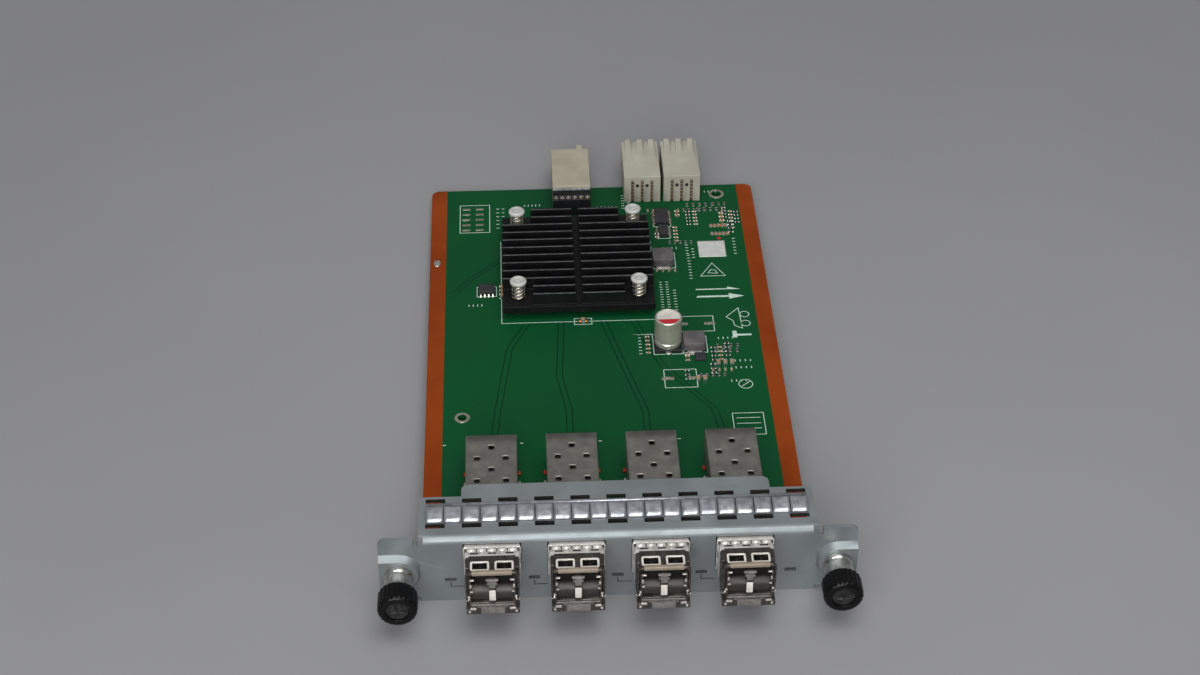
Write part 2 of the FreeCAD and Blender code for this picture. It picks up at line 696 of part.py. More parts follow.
def collar(x):
    """Spring-finger collar round a cage's mouth: a band with bowed fingers reaching into the panel."""
    half = CAGE_WIDTH / 2 + COLLAR_GAP
    low = BOARD_TOP - COLLAR_GAP
    high = BOARD_TOP + CAGE_HEIGHT + COLLAR_GAP
    bend = CAGE_FRONT + COLLAR_BAND
    rear = min(CAGE_FRONT + COLLAR_LENGTH, BOARD_FRONT_GAP - COLLAR_GAP)
    outer = COLLAR_SHEET
    band = box((x - half - outer, x + half + outer), (CAGE_FRONT, bend), (low - outer, high + outer))
    band = band.cut(box((x - half, x + half), (CAGE_FRONT - 1, bend + 1), (low, high)))

    crest = (bend + rear) / 2
    finger = [(bend, 0), (bend, outer), (crest, outer + COLLAR_BOW), (rear, outer), (rear, 0)]
    fingers = []
    for count, surface, lift in ((COLLAR_TOP_FINGERS, high, 1), (COLLAR_BOTTOM_FINGERS, low, -1)):
        width = (2 * half - (count - 1) * COLLAR_SLIT) / count
        outline = [(y, surface + lift * out) for y, out in finger]
        for index in range(count):
            fingers.append(prism(outline, x - half + index * (width + COLLAR_SLIT), X_AXIS * width))
    tall = (high - low) / COLLAR_SIDE_FINGERS - COLLAR_SLIT
    for index in range(COLLAR_SIDE_FINGERS):
        for side in (-1, 1):
            outline = [(x + side * (half + out), y) for y, out in finger]
            start = low + COLLAR_SLIT / 2 + index * (tall + COLLAR_SLIT)
            fingers.append(prism(outline, start, Z_AXIS * tall))
    return join([band] + fingers)


def host_rear():
    """Y of the host connectors' rear faces."""
    return CAGE_REAR - HOST_FROM_CAGE_REAR


def host_connector(x):
    """Card-edge socket that takes a transceiver's board."""
    rear = host_rear()
    body = box(centred(x, HOST_WIDTH), (rear - HOST_DEPTH, rear), (BOARD_TOP, BOARD_TOP + HOST_HEIGHT))
    gap = HOST_SLOT_CLEARANCE
    middle = NOSE_FLOOR + NOSE_BELOW_BOARD_TOP + INNER_BOARD_HEIGHT + INNER_BOARD_THICKNESS / 2
    slot = box(centred(x, INNER_BOARD_WIDTH + 2 * gap), (rear - HOST_DEPTH, rear - HOST_DEPTH + HOST_SLOT_DEPTH),
               centred(middle, INNER_BOARD_THICKNESS + 2 * gap))
    return body.cut(slot)


# --------------------------------------------------------------- transceivers

def shell_rear():
    """Y of a transceiver shell's rear end, short of the host connector."""
    return host_rear() - HOST_DEPTH - SHELL_SHORT_OF_HOST


def nose_top():
    """Z of the transceiver nose's top."""
    return NOSE_FLOOR + NOSE_HEIGHT


def bail_pivot():
    """Y and Z of the bail's pivot."""
    return (NOSE_FRONT + BAIL_PIVOT_BEHIND_NOSE, NOSE_FLOOR + BAIL_PIVOT_RISE)


def transceiver_shell(x):
    """Die-cast body in the cage and the nose in front of it, with two fibre ports and the bail's pivots."""
    body_half = CAGE_WIDTH / 2 - CAGE_SHEET - SHELL_SIDE_CLEARANCE
    body_low = BOARD_TOP + CAGE_SHEET + SHELL_FLOOR_CLEARANCE
    body_high = body_low + SHELL_BODY_HEIGHT
    shoulder_rear = CAGE_FRONT - NOSE_CAGE_GAP
    shoulder_front = shoulder_rear - NOSE_SHOULDER
    top = nose_top()
    body = box((x - body_half, x + body_half), (shoulder_front, shell_rear()), (body_low, body_high))
    nose = box(centred(x, NOSE_WIDTH), (NOSE_FRONT, shoulder_rear), (NOSE_FLOOR, top))
    shoulder = box(centred(x, NOSE_SHOULDER_WIDTH), (shoulder_front, shoulder_rear),
                   (NOSE_FLOOR, top - NOSE_SHOULDER_DROP))
    skirt = box(centred(x, NOSE_SHOULDER_WIDTH), (NOSE_FRONT, shoulder_front),
                (NOSE_FLOOR, NOSE_FLOOR + NOSE_SKIRT_HEIGHT))
    tab = box(centred(x, LIP_TAB_WIDTH), (NOSE_FRONT - LIP_TAB_RISE, NOSE_FRONT),
              (NOSE_FLOOR + LIP_TAB_RISE, NOSE_FLOOR + LIP_TAB_RISE + LIP_TAB_HEIGHT))
    solids = [body, nose, shoulder, skirt, tab]
    tools = []
    window_rear = CAGE_FRONT - WINDOW_FROM_CAGE
    for side in (-1, 1):
        port_x = x + side * FIBRE_PITCH / 2
        port_floor = NOSE_FLOOR + FIBRE_PORT_FLOOR
        port_roof = port_floor + FIBRE_PORT_HEIGHT
        tools.append(box(centred(port_x, FIBRE_PORT_WIDTH), (NOSE_FRONT - 1, NOSE_FRONT + FIBRE_PORT_DEPTH),
                         (port_floor, port_roof)))
        tools.append(box(centred(port_x, FIBRE_PORT_WIDTH), (NOSE_FRONT - 1, NOSE_FRONT + LATCH_WELL_DEPTH),
                         (port_floor, top + 1)))
        tools.append(box(centred(port_x, LATCH_WELL_STEP_WIDTH),
                         (NOSE_FRONT, NOSE_FRONT + LATCH_WELL_DEPTH + LATCH_WELL_STEP), (port_floor, top + 1)))
        rim = box(centred(port_x, WINDOW_WIDTH + 2 * WINDOW_RIM),
                  (window_rear - WINDOW_LENGTH - WINDOW_RIM, window_rear + WINDOW_RIM),
                  (top - NOSE_SHOULDER_DROP, top + WINDOW_RIM_RISE))
        solids.append(rim)
        tools.append(box(centred(port_x, WINDOW_WIDTH), (window_rear - WINDOW_LENGTH, window_rear),
                         (top - WINDOW_DEPTH, top + 1)))
    pivot_y, pivot_z = bail_pivot()
    hole = BAIL_PIN_RADIUS + BAIL_PIN_CLEARANCE
    for side in (-1, 1):
        start = (x + side * (NOSE_WIDTH / 2 - BAIL_PIN_LENGTH), pivot_y, pivot_z)
        tools.append(faceted(hole, hole, start, X_AXIS * side, NOSE_WIDTH / 2))
    board_low = BOARD_TOP + INNER_BOARD_HEIGHT
    cavity = box((x - body_half + INNER_WALL, x + body_half - INNER_WALL),
                 (shell_rear() - INNER_BOARD_LENGTH + HOST_SLOT_DEPTH, shell_rear() + 1),
                 (board_low, body_high - INNER_WALL))
    tools.append(cavity)
    return join(solids).cut(tools)


def transceiver_board(x):
    """Small board in the transceiver whose tongue enters the host connector."""
    rear = host_rear() - HOST_DEPTH + HOST_SLOT_DEPTH - HOST_SLOT_CLEARANCE
    low = BOARD_TOP + INNER_BOARD_HEIGHT
    return box(centred(x, INNER_BOARD_WIDTH), (rear - INNER_BOARD_LENGTH, rear), (low, low + INNER_BOARD_THICKNESS))


def optical_barrels(x):
    """The two optical barrels at the back of the fibre ports."""
    barrels = []
    rear = NOSE_FRONT + FIBRE_PORT_DEPTH
    for side in (-1, 1):
        start = (x + side * FIBRE_PITCH / 2, rear - BARREL_LENGTH, NOSE_FLOOR + FIBRE_PORT_FLOOR + BARREL_RISE)
        barrels.append(faceted(BARREL_RADIUS, BARREL_RADIUS, start, Y_AXIS, BARREL_LENGTH, RING_SIDES))
    return group(barrels)


def bail(x):
    """Metal yoke of the bail: two side straps with inward pivot pins, joined across the top."""
    pivot_y, pivot_z = bail_pivot()
    inner = NOSE_WIDTH / 2 + BAIL_SIDE_CLEARANCE
    bar_y = pivot_y + BAIL_LEAN
    bar_z = pivot_z + BAIL_REACH
    half = BAIL_STRAP_WIDTH / 2
    solids = []
    for side in (-1, 1):
        low = min(side * inner, side * (inner + BAIL_STRAP))
        outline = [(pivot_y - half, pivot_z - half), (pivot_y + half, pivot_z - half),
                   (bar_y + half, bar_z + half), (bar_y - half, bar_z + half)]
        solids.append(prism(outline, x + low, X_AXIS * BAIL_STRAP))
        pin_start = (x + side * inner, pivot_y, pivot_z)
        solids.append(faceted(BAIL_PIN_RADIUS, BAIL_PIN_RADIUS, pin_start, X_AXIS * -side, BAIL_PIN_LENGTH))
    bridge = box((x - inner, x + inner), centred(bar_y, BAIL_STRAP_WIDTH), centred(bar_z, BAIL_STRAP))
    return join(solids + [bridge])


def bail_grip(x):
    """Moulded bar over the bail's crosspiece."""
    pivot_y, pivot_z = bail_pivot()
    bar_y = pivot_y + BAIL_LEAN
    bar_z = pivot_z + BAIL_REACH
    block = box(centred(x, GRIP_WIDTH), centred(bar_y, GRIP_DEPTH), centred(bar_z, GRIP_HEIGHT))
    lengthwise = [edge for edge in block.Edges if abs(edge.tangentAt(edge.FirstParameter).x) > 0.9]
    block = block.makeChamfer(GRIP_CORNER, lengthwise)
    core = box(centred(x, GRIP_WIDTH), centred(bar_y, BAIL_STRAP_WIDTH), centred(bar_z, BAIL_STRAP))
    return block.cut(core)


# --------------------------------------------------------------- thumb screws

def ferrule(x):
    """Pressed-in ferrule that guides the thumb screw and houses its spring."""
    barrel = faceted(FERRULE_RADIUS, FERRULE_RADIUS, (x, FERRULE_FRONT, 0), Y_AXIS, FERRULE_LENGTH, ROUND_SIDES)
    neck = faceted(FERRULE_NECK_RADIUS, FERRULE_NECK_RADIUS, (x, BOSS_FRONT, 0), Y_AXIS, PANEL_SHEET)
    chamber = faceted(FERRULE_BORE_RADIUS, FERRULE_BORE_RADIUS, (x, FERRULE_FRONT, 0), Y_AXIS,
                      FERRULE_LENGTH - FERRULE_SHOULDER)
    hole = SCREW_RADIUS + FERRULE_SCREW_CLEARANCE
    bore = faceted(hole, hole, (x, FERRULE_FRONT, 0), Y_AXIS, FERRULE_LENGTH + PANEL_SHEET)
    return join([barrel, neck]).cut([chamber, bore])


def knob_ring(x, y, shrink):
    """Corners round the knob's fluted rim, drawn in by a given amount."""
    points = []
    step = 2 * math.pi / KNOB_FLUTES
    rim = KNOB_RADIUS - shrink
    floor = rim * (1 - KNOB_FLUTE_DEPTH / KNOB_RADIUS)
    for index in range(KNOB_FLUTES):
        for radius, share in ((rim, 0), (rim, 1 - KNOB_FLUTE_SHARE), (floor, 1 - KNOB_FLUTE_SHARE * 0.8),
                              (floor, 1 - KNOB_FLUTE_SHARE * 0.2)):
            angle = step * (index + share)
            points.append(Vector(x + radius * math.cos(angle), y, radius * math.sin(angle)))
    return points


def knob(x):
    """Fluted plastic knob, hollow at the back so that it slides over the ferrule."""
    rear = KNOB_FRONT + KNOB_LENGTH
    stations = ((KNOB_FRONT, KNOB_CHAMFER), (KNOB_FRONT + KNOB_CHAMFER, 0), (rear - KNOB_CHAMFER, 0),
                (rear, KNOB_CHAMFER))
    blank = skin([knob_ring(x, y, shrink) for y, shrink in stations])
    bore = FERRULE_RADIUS + KNOB_BORE_CLEARANCE
    tools = [
        faceted(KNOB_RECESS_RADIUS, KNOB_RECESS_RADIUS, (x, KNOB_FRONT, 0), Y_AXIS, KNOB_RECESS_DEPTH, KNOB_SIDES),
        faceted(SCREW_RADIUS, SCREW_RADIUS, (x, KNOB_FRONT, 0), Y_AXIS, KNOB_LENGTH),
        faceted(bore, bore, (x, KNOB_WEB_REAR, 0), Y_AXIS, KNOB_LENGTH, KNOB_SIDES),
    ]
    return blank.cut(tools)


def thumb_screw(x):
    """Captive screw: cross-slotted head in the knob's recess, retaining ring and thread behind the panel."""
    head = faceted(SCREW_HEAD_RADIUS, SCREW_HEAD_RADIUS, (x, KNOB_WEB_FRONT - SCREW_HEAD_THICKNESS, 0), Y_AXIS,
                   SCREW_HEAD_THICKNESS, KNOB_SIDES)
    ring_front = BOSS_FRONT + PANEL_SHEET + SCREW_RING_GAP
    ring_rear = ring_front + SCREW_RING_THICKNESS
    stem = faceted(SCREW_RADIUS, SCREW_RADIUS, (x, KNOB_WEB_FRONT, 0), Y_AXIS, ring_front - KNOB_WEB_FRONT)
    ring = faceted(SCREW_RING_RADIUS, SCREW_RING_RADIUS, (x, ring_front, 0), Y_AXIS, SCREW_RING_THICKNESS)
    thread = rod(SCREW_RADIUS, (x, ring_rear, 0), Y_AXIS, SCREW_TIP_OUT - ring_rear)
    depth = (KNOB_WEB_FRONT - SCREW_HEAD_THICKNESS, KNOB_WEB_FRONT - SCREW_HEAD_THICKNESS + SCREW_CROSS_DEPTH)
    upright = box(centred(x, SCREW_CROSS_WIDTH), depth, centred(0, SCREW_CROSS_LENGTH))
    level = box(centred(x, SCREW_CROSS_LENGTH), depth, centred(0, SCREW_CROSS_WIDTH))
    return join([head, stem, ring, thread]).cut([upright, level])


def screw_spring(x):
    """Spring between the ferrule's shoulder and the knob's web."""
    start = KNOB_WEB_REAR
    length = BOSS_FRONT - FERRULE_SHOULDER - start
    return coil(SCREW_SPRING_RADIUS, SCREW_SPRING_WIRE, SCREW_SPRING_TURNS, length, (x, start, 0), Y_AXIS)


# ------------------------------------------------- heatsink, chip, push pins

def heatsink():
    """Black extrusion: base plate, cross fins split by a middle channel, short fins at the corners."""
    base_low = HEATSINK_BASE_TOP - HEATSINK_BASE
    base = box(centred(HEATSINK_X, HEATSINK_WIDTH), centred(HEATSINK_Y, HEATSINK_LENGTH),
               (base_low, HEATSINK_BASE_TOP))
    hole = PIN_STEM_RADIUS + PIN_HOLE_CLEARANCE
    holes = [faceted(hole, hole, (x, y, base_low), Z_AXIS, HEATSINK_BASE) for x, y in pin_places()]
    base = base.cut(holes)
    first = HEATSINK_Y - HEATSINK_LENGTH / 2 + HEATSINK_FIN_MARGIN + HEATSINK_FIN_THICKNESS / 2
    pitch = 2 * (HEATSINK_Y - first) / (HEATSINK_FINS - 1)
    fins = []
    for index in range(HEATSINK_FINS):
        from_end = min(index, HEATSINK_FINS - 1 - index)
        short = HEATSINK_CORNER_WIDTH if from_end < HEATSINK_SHORT_FINS else 0
        reach = HEATSINK_WIDTH / 2 - short
        y_span = centred(first + index * pitch, HEATSINK_FIN_THICKNESS)
        for side in (-1, 1):
            ends = sorted((HEATSINK_X + side * HEATSINK_CHANNEL / 2, HEATSINK_X + side * reach))
            fins.append(box(ends, y_span, (HEATSINK_BASE_TOP, HEATSINK_BASE_TOP + HEATSINK_FIN_HEIGHT)))
    return base.fuse(fins)


def switch_chip():
    """Switch chip under the heatsink."""
    return box(centred(HEATSINK_X, CHIP_SIDE), centred(HEATSINK_Y, CHIP_SIDE), (BOARD_TOP, BOARD_TOP + CHIP_HEIGHT))


def thermal_pad():
    """Soft pad between chip and heatsink."""
    low = BOARD_TOP + CHIP_HEIGHT
    return box(centred(HEATSINK_X, PAD_SIDE), centred(HEATSINK_Y, PAD_SIDE), (low, low + PAD_THICKNESS))


def push_pin(x, y):
    """Plastic push pin: round head, stem through heatsink and board, barb below."""
    head_low = HEATSINK_BASE_TOP + PIN_SPRING_LENGTH
    barb_top = BOARD_BOTTOM
    head = faceted(PIN_HEAD_RADIUS, PIN_HEAD_RADIUS, (x, y, head_low), Z_AXIS, PIN_HEAD_THICKNESS, HEAD_SIDES)
    stem = faceted(PIN_STEM_RADIUS, PIN_STEM_RADIUS, (x, y, barb_top), Z_AXIS, head_low - barb_top)
    barb = faceted(PIN_STEM_RADIUS * 0.6, PIN_BARB_RADIUS, (x, y, barb_top - PIN_BARB_LENGTH), Z_AXIS,
                   PIN_BARB_LENGTH)
    return join([head, stem, barb])


def push_pin_springs():
    """Springs between the heatsink's base and the pins' heads."""
    return group([coil(PIN_SPRING_RADIUS, PIN_SPRING_WIRE, PIN_SPRING_TURNS, PIN_SPRING_LENGTH,
                       (x, y, HEATSINK_BASE_TOP), Z_AXIS) for x, y in pin_places()])


# ------------------------------------------------------------ rear connectors

def signal_rear():
    """Y of the signal connector's mating face."""
    return BOARD_REAR + SIGNAL_PAST_BOARD


def signal_housing():
    """Moulded housing of the signal connector, dropped over the board's rear edge."""
    rear = signal_rear()
    span = centred(SIGNAL_X, SIGNAL_WIDTH)
    top = BOARD_TOP + SIGNAL_HEIGHT
    on_board = box(span, (rear - SIGNAL_LENGTH, BOARD_REAR), (BOARD_TOP, top))
    overhang = box(span, (BOARD_REAR, rear), (BOARD_TOP - SIGNAL_DROP, top))
    key = box(centred(SIGNAL_X + SIGNAL_KEY_X, SIGNAL_KEY_WIDTH), (rear, rear + SIGNAL_KEY_LENGTH),
              (top - SIGNAL_KEY_WIDTH, top))
    solid = join([on_board, overhang, key])
    pitch = SIGNAL_WIDTH / SIGNAL_WAFERS
    slots = [box(centred(SIGNAL_X + (index - (SIGNAL_WAFERS - 1) / 2) * pitch, pitch / 2),
                 (rear - SIGNAL_PAST_BOARD / 2, rear + 1), (BOARD_TOP + 1, top - 2 * SIGNAL_KEY_WIDTH / 2 - 1))
             for index in range(SIGNAL_WAFERS)]
    return solid.cut(slots)


def signal_wafers():
    """Black wafer block in front of the signal housing, stepped down towards the card's front."""
    front_of_housing = signal_rear() - SIGNAL_LENGTH
    span = centred(SIGNAL_X, SIGNAL_WIDTH)
    riser_front = front_of_housing - WAFER_RISER_LENGTH
    step = box(span, (riser_front - WAFER_STEP_LENGTH, front_of_housing), (BOARD_TOP, BOARD_TOP + WAFER_STEP_HEIGHT))
    riser = box(span, (riser_front, front_of_housing), (BOARD_TOP, BOARD_TOP + WAFER_RISER_HEIGHT))
    return join([step, riser])


def signal_contacts():
    """Shield strip and the row of contact rings on the wafer block."""
    front_of_housing = signal_rear() - SIGNAL_LENGTH
    riser_front = front_of_housing - WAFER_RISER_LENGTH
    shield = box(centred(SIGNAL_X, SIGNAL_WIDTH), (riser_front, front_of_housing),
                 (BOARD_TOP + WAFER_RISER_HEIGHT, BOARD_TOP + WAFER_RISER_HEIGHT + SHIELD_THICKNESS))
    pitch = SIGNAL_WIDTH / SIGNAL_WAFERS
    places = [SIGNAL_X + (index - (SIGNAL_WAFERS - 1) / 2) * pitch for index in range(SIGNAL_WAFERS)]
    ring_y = riser_front - WAFER_STEP_LENGTH / 2
    rings = [faceted(WAFER_RING_RADIUS, WAFER_RING_RADIUS, (x, ring_y, BOARD_TOP + WAFER_STEP_HEIGHT), Z_AXIS,
                     WAFER_RING_HEIGHT, RING_SIDES) for x in places]
    return group([shield] + rings)


def power_ways(x, pitch=POWER_WAY_PITCH):
    """X of each contact way in a power connector."""
    return [x + (index - (POWER_WAYS - 1) / 2) * pitch for index in range(POWER_WAYS)]


def power_header(x):
    """White power connector: grooved front, ridged roof and three sockets past the board's rear edge."""
    span = centred(x, POWER_WIDTH)
    top = BOARD_TOP + POWER_HEIGHT
    front = BOARD_REAR - POWER_BASE_LENGTH
    rear = BOARD_REAR + POWER_MATE_LENGTH
    base = box(span, (front, BOARD_REAR), (BOARD_TOP, top))
    mate = box(span, (BOARD_REAR, rear), (BOARD_TOP - POWER_DROP, top))
    solids = [base, mate]
    tools = []
    ridge = [(rear - POWER_RIDGE_LENGTH, top), (rear, top), (rear, top + POWER_RIDGE_RISE)]
    for middle in power_ways(x, POWER_RIDGE_PITCH):
        solids.append(prism(ridge, middle - POWER_RIDGE_WIDTH / 2, X_AXIS * POWER_RIDGE_WIDTH))
    for way in power_ways(x):
        tools.append(box(centred(way, POWER_SOCKET_WIDTH), (rear - POWER_SOCKET_DEPTH, rear + 1),
                         centred((BOARD_TOP - POWER_DROP + top) / 2, POWER_SOCKET_HEIGHT)))
        tools.append(box(centred(way, POWER_GROOVE_WIDTH), (front - 1, front + POWER_GROOVE_DEPTH),
                         (BOARD_TOP - 1, BOARD_TOP + POWER_GROOVE_HEIGHT)))
    return join(solids).cut(tools)


def power_leads():
    """Solder leads seated in the grooves of both power connectors."""
    back = BOARD_REAR - POWER_BASE_LENGTH + POWER_GROOVE_DEPTH
    front = back - POWER_LEAD_WIDTH
    leads = []
    for x in POWER_X:
        for way in power_ways(x):
            leads.append(box(centred(way, POWER_LEAD_WIDTH), (front, back),
                             (BOARD_TOP, BOARD_TOP + POWER_GROOVE_HEIGHT - POWER_LEAD_WIDTH)))
    return group(leads)


# ----------------------------------------------------------- board components

def on_board(place):
    """X and Y of a place given from the board's middle."""
    return place[0], CAGE_REAR + place[1]


def in_from_right(place):
    """X and Y of a place given from the board's right edge."""
    return BOARD_WIDTH / 2 - place[0], CAGE_REAR + place[1]


def capacitor_can():
    """Electrolytic can with a rolled groove near its foot and a chamfered crown."""
    x, y = on_board(CAPACITOR_PLACE)
    low = BOARD_TOP + CAPACITOR_BASE_HEIGHT
    top = BOARD_TOP + CAPACITOR_HEIGHT
    groove = low + CAPACITOR_GROOVE_HEIGHT
    profile = ((CAPACITOR_RADIUS, low), (CAPACITOR_RADIUS, groove - CAPACITOR_GROOVE_DEPTH),
               (CAPACITOR_RADIUS - CAPACITOR_GROOVE_DEPTH, groove),
               (CAPACITOR_RADIUS, groove + CAPACITOR_GROOVE_DEPTH),
               (CAPACITOR_RADIUS, top - CAPACITOR_TOP_CHAMFER), (CAPACITOR_RADIUS - CAPACITOR_TOP_CHAMFER, top))
    rings = []
    for radius, z in profile:
        angles = [2 * math.pi * index / ROUND_SIDES for index in range(ROUND_SIDES)]
        rings.append([Vector(x + radius * math.cos(angle), y + radius * math.sin(angle), z) for angle in angles])
    return skin(rings)


def capacitor_base():
    """Square moulded base with two corners cut off."""
    x, y = on_board(CAPACITOR_PLACE)
    block = box(centred(x, CAPACITOR_BASE_SIDE), centred(y, CAPACITOR_BASE_SIDE),
                (BOARD_TOP, BOARD_TOP + CAPACITOR_BASE_HEIGHT))
    cut = [edge for edge in block.Edges
           if abs(edge.tangentAt(edge.FirstParameter).z) > 0.9 and edge.CenterOfMass.y > y]
    return block.makeChamfer(CAPACITOR_BASE_SIDE / 6, cut)


def inductors():
    """Moulded power inductors with clipped corners."""
    blocks = []
    for place in INDUCTOR_PLACES:
        x, y = on_board(place)
        block = box(centred(x, INDUCTOR_SIDE), centred(y, INDUCTOR_SIDE), (BOARD_TOP, BOARD_TOP + INDUCTOR_HEIGHT))
        uprights = [edge for edge in block.Edges if abs(edge.tangentAt(edge.FirstParameter).z) > 0.9]
        blocks.append(block.makeChamfer(INDUCTOR_CORNER, uprights))
    return group(blocks)


def chip_body(place, size, height, standoff):
    """A moulded chip body over its place."""
    x, y = on_board(place)
    low = BOARD_TOP + standoff
    return box(centred(x, size[0]), centred(y, size[1]), (low, low + height))


def lead_rows(place, size, count, leave_along_y):
    """Two rows of bent leads, on the chip's sides that face along Y or along X."""
    x, y = on_board(place)
    row, across = size if leave_along_y else reversed(size)
    middle = BOARD_TOP + CHIP_STANDOFF + CHIP_BODY_HEIGHT / 2
    leads = []
    for side in (-1, 1):
        root, knee, toe = (side * (across / 2 + reach) for reach in (0, LEAD_REACH / 2, LEAD_REACH))
        outline = [(root, middle), (knee, middle), (toe, BOARD_TOP + LEAD_THICKNESS), (toe, BOARD_TOP),
                   (knee, BOARD_TOP), (root, middle - LEAD_THICKNESS)]
        for index in range(count):
            at = (index - (count - 1) / 2) * row / count - LEAD_WIDTH / 2
            if leave_along_y:
                leads.append(prism([(y + out, z) for out, z in outline], x + at, X_AXIS * LEAD_WIDTH))
            else:
                leads.append(prism([(x + out, z) for out, z in outline], y + at, Y_AXIS * LEAD_WIDTH))
    return leads


def chip_bodies():
    """All moulded chip bodies, with the leadless regulator beside the front inductor."""
    leaded = ((MEMORY_CHIP_PLACE, MEMORY_CHIP_SIZE), (LOGIC_CHIP_PLACE, LOGIC_CHIP_SIZE),
              (DRIVER_CHIP_PLACE, DRIVER_CHIP_SIZE))
    bodies = [chip_body(place, size, CHIP_BODY_HEIGHT, CHIP_STANDOFF) for place, size in leaded]
    bodies.append(chip_body(REGULATOR_PLACE, (REGULATOR_SIDE, REGULATOR_SIDE), REGULATOR_HEIGHT, 0))
    return group(bodies)


def chip_leads():
    """All bent chip leads."""
    return group(lead_rows(MEMORY_CHIP_PLACE, MEMORY_CHIP_SIZE, 4, True)
                 + lead_rows(LOGIC_CHIP_PLACE, LOGIC_CHIP_SIZE, 7, False)
                 + lead_rows(DRIVER_CHIP_PLACE, DRIVER_CHIP_SIZE, 4, False))


def small_rows(rows, size, places):
    """Small two-ended parts in rows: those along Y step to the right, those across step to the rear."""
    solids = []
    for start, run in rows:
        for index in range(1 + round(run / SMALL_PITCH)):
            x, y = places(start)
            if size[1] > size[0]:
                x += index * SMALL_PITCH
            else:
                y += index * SMALL_PITCH
            solids.append(box(centred(x, size[0]), centred(y, size[1]), (BOARD_TOP, BOARD_TOP + size[2])))
    return solids


def chip_resistors():
    """Rows of small resistors."""
    return group(small_rows(RESISTORS_ALONG, RESISTOR_ALONG, on_board)
                 + small_rows(RESISTORS_ACROSS, RESISTOR_ACROSS, on_board)
                 + small_rows(RESISTORS_ALONG_FROM_RIGHT, RESISTOR_ALONG, in_from_right)
                 + small_rows(RESISTORS_ACROSS_FROM_RIGHT, RESISTOR_ACROSS, in_from_right))


def chip_capacitors():
    """Rows of small ceramic capacitors."""
    return group(small_rows(CERAMICS_ALONG, CERAMIC_ALONG, on_board)
                 + small_rows(CERAMICS_ACROSS, CERAMIC_ACROSS, on_board)
                 + small_rows(CERAMICS_ACROSS_FROM_RIGHT, CERAMIC_ACROSS, in_from_right))


def board_label():
    """Plain label on the board."""
    x, y = in_from_right(LABEL_FROM_RIGHT)
    return box(centred(x, LABEL_SIDE), centred(y, LABEL_SIDE), (BOARD_TOP, BOARD_TOP + LABEL_THICKNESS))


def main():
    """Build and write every node."""
    os.makedirs("parts", exist_ok=True)
    save("front_panel", front_panel())
    save("emi_gasket", emi_gasket())
    save("circuit_board", circuit_board())
    save("edge_strips", edge_strips())
    save("board_brackets", group([board_bracket(side * BRACKET_X) for side in (-1, 1)]))
    save("bracket_screws", group([bracket_screw(side * BRACKET_X) for side in (-1, 1)]))
    save("status_lamps", status_lamps())
    save("cage_collars", group([collar(x) for x in PORT_PLACES]))
    save("host_connectors", group([host_connector(x) for x in PORT_PLACES]))
    for number, x in enumerate(PORT_PLACES, 1):
        save(f"cage_{number}", cage(x))
        save(f"transceiver_shell_{number}", transceiver_shell(x))
        save(f"transceiver_board_{number}", transceiver_board(x))
        save(f"optical_barrels_{number}", optical_barrels(x))
        save(f"bail_{number}", bail(x))
        save(f"bail_grip_{number}", bail_grip(x))
    for side, x in (("left", -SCREW_X), ("right", SCREW_X)):
        save(f"{side}_ferrule", ferrule(x))
        save(f"{side}_knob", knob(x))
        save(f"{side}_thumb_screw", thumb_screw(x))
        save(f"{side}_screw_spring", screw_spring(x))
    save("heatsink", heatsink())
    save("switch_chip", switch_chip())
    save("thermal_pad", thermal_pad())
    save("push_pins", group([push_pin(x, y) for x, y in pin_places()]))
    save("push_pin_springs", push_pin_springs())
    save("signal_housing", signal_housing())
    save("signal_wafers", signal_wafers())
    save("signal_contacts", signal_contacts())
    save("power_headers", group([power_header(x) for x in POWER_X]))
    save("power_leads", power_leads())
    save("capacitor_can", capacitor_can())
    save("capacitor_base", capacitor_base())
    save("inductors", inductors())
    save("chip_bodies", chip_bodies())
    save("chip_leads", chip_leads())
    save("chip_resistors", chip_resistors())
    save("chip_capacitors", chip_capacitors())
    save("board_label", board_label())


main()
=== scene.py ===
"""Dresses a four-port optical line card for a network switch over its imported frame.

Every class stands for one sub-assembly of the card and holds its sizes in millimetres. Its shapes
are surfaces worked out on numpy grids, and its places come from the boxes of the frame's own nodes.
"""
import json
import logging
import math
from dataclasses import dataclass
from enum import Enum

import bmesh
import bpy
import numpy as np
from mathutils import Matrix, Vector

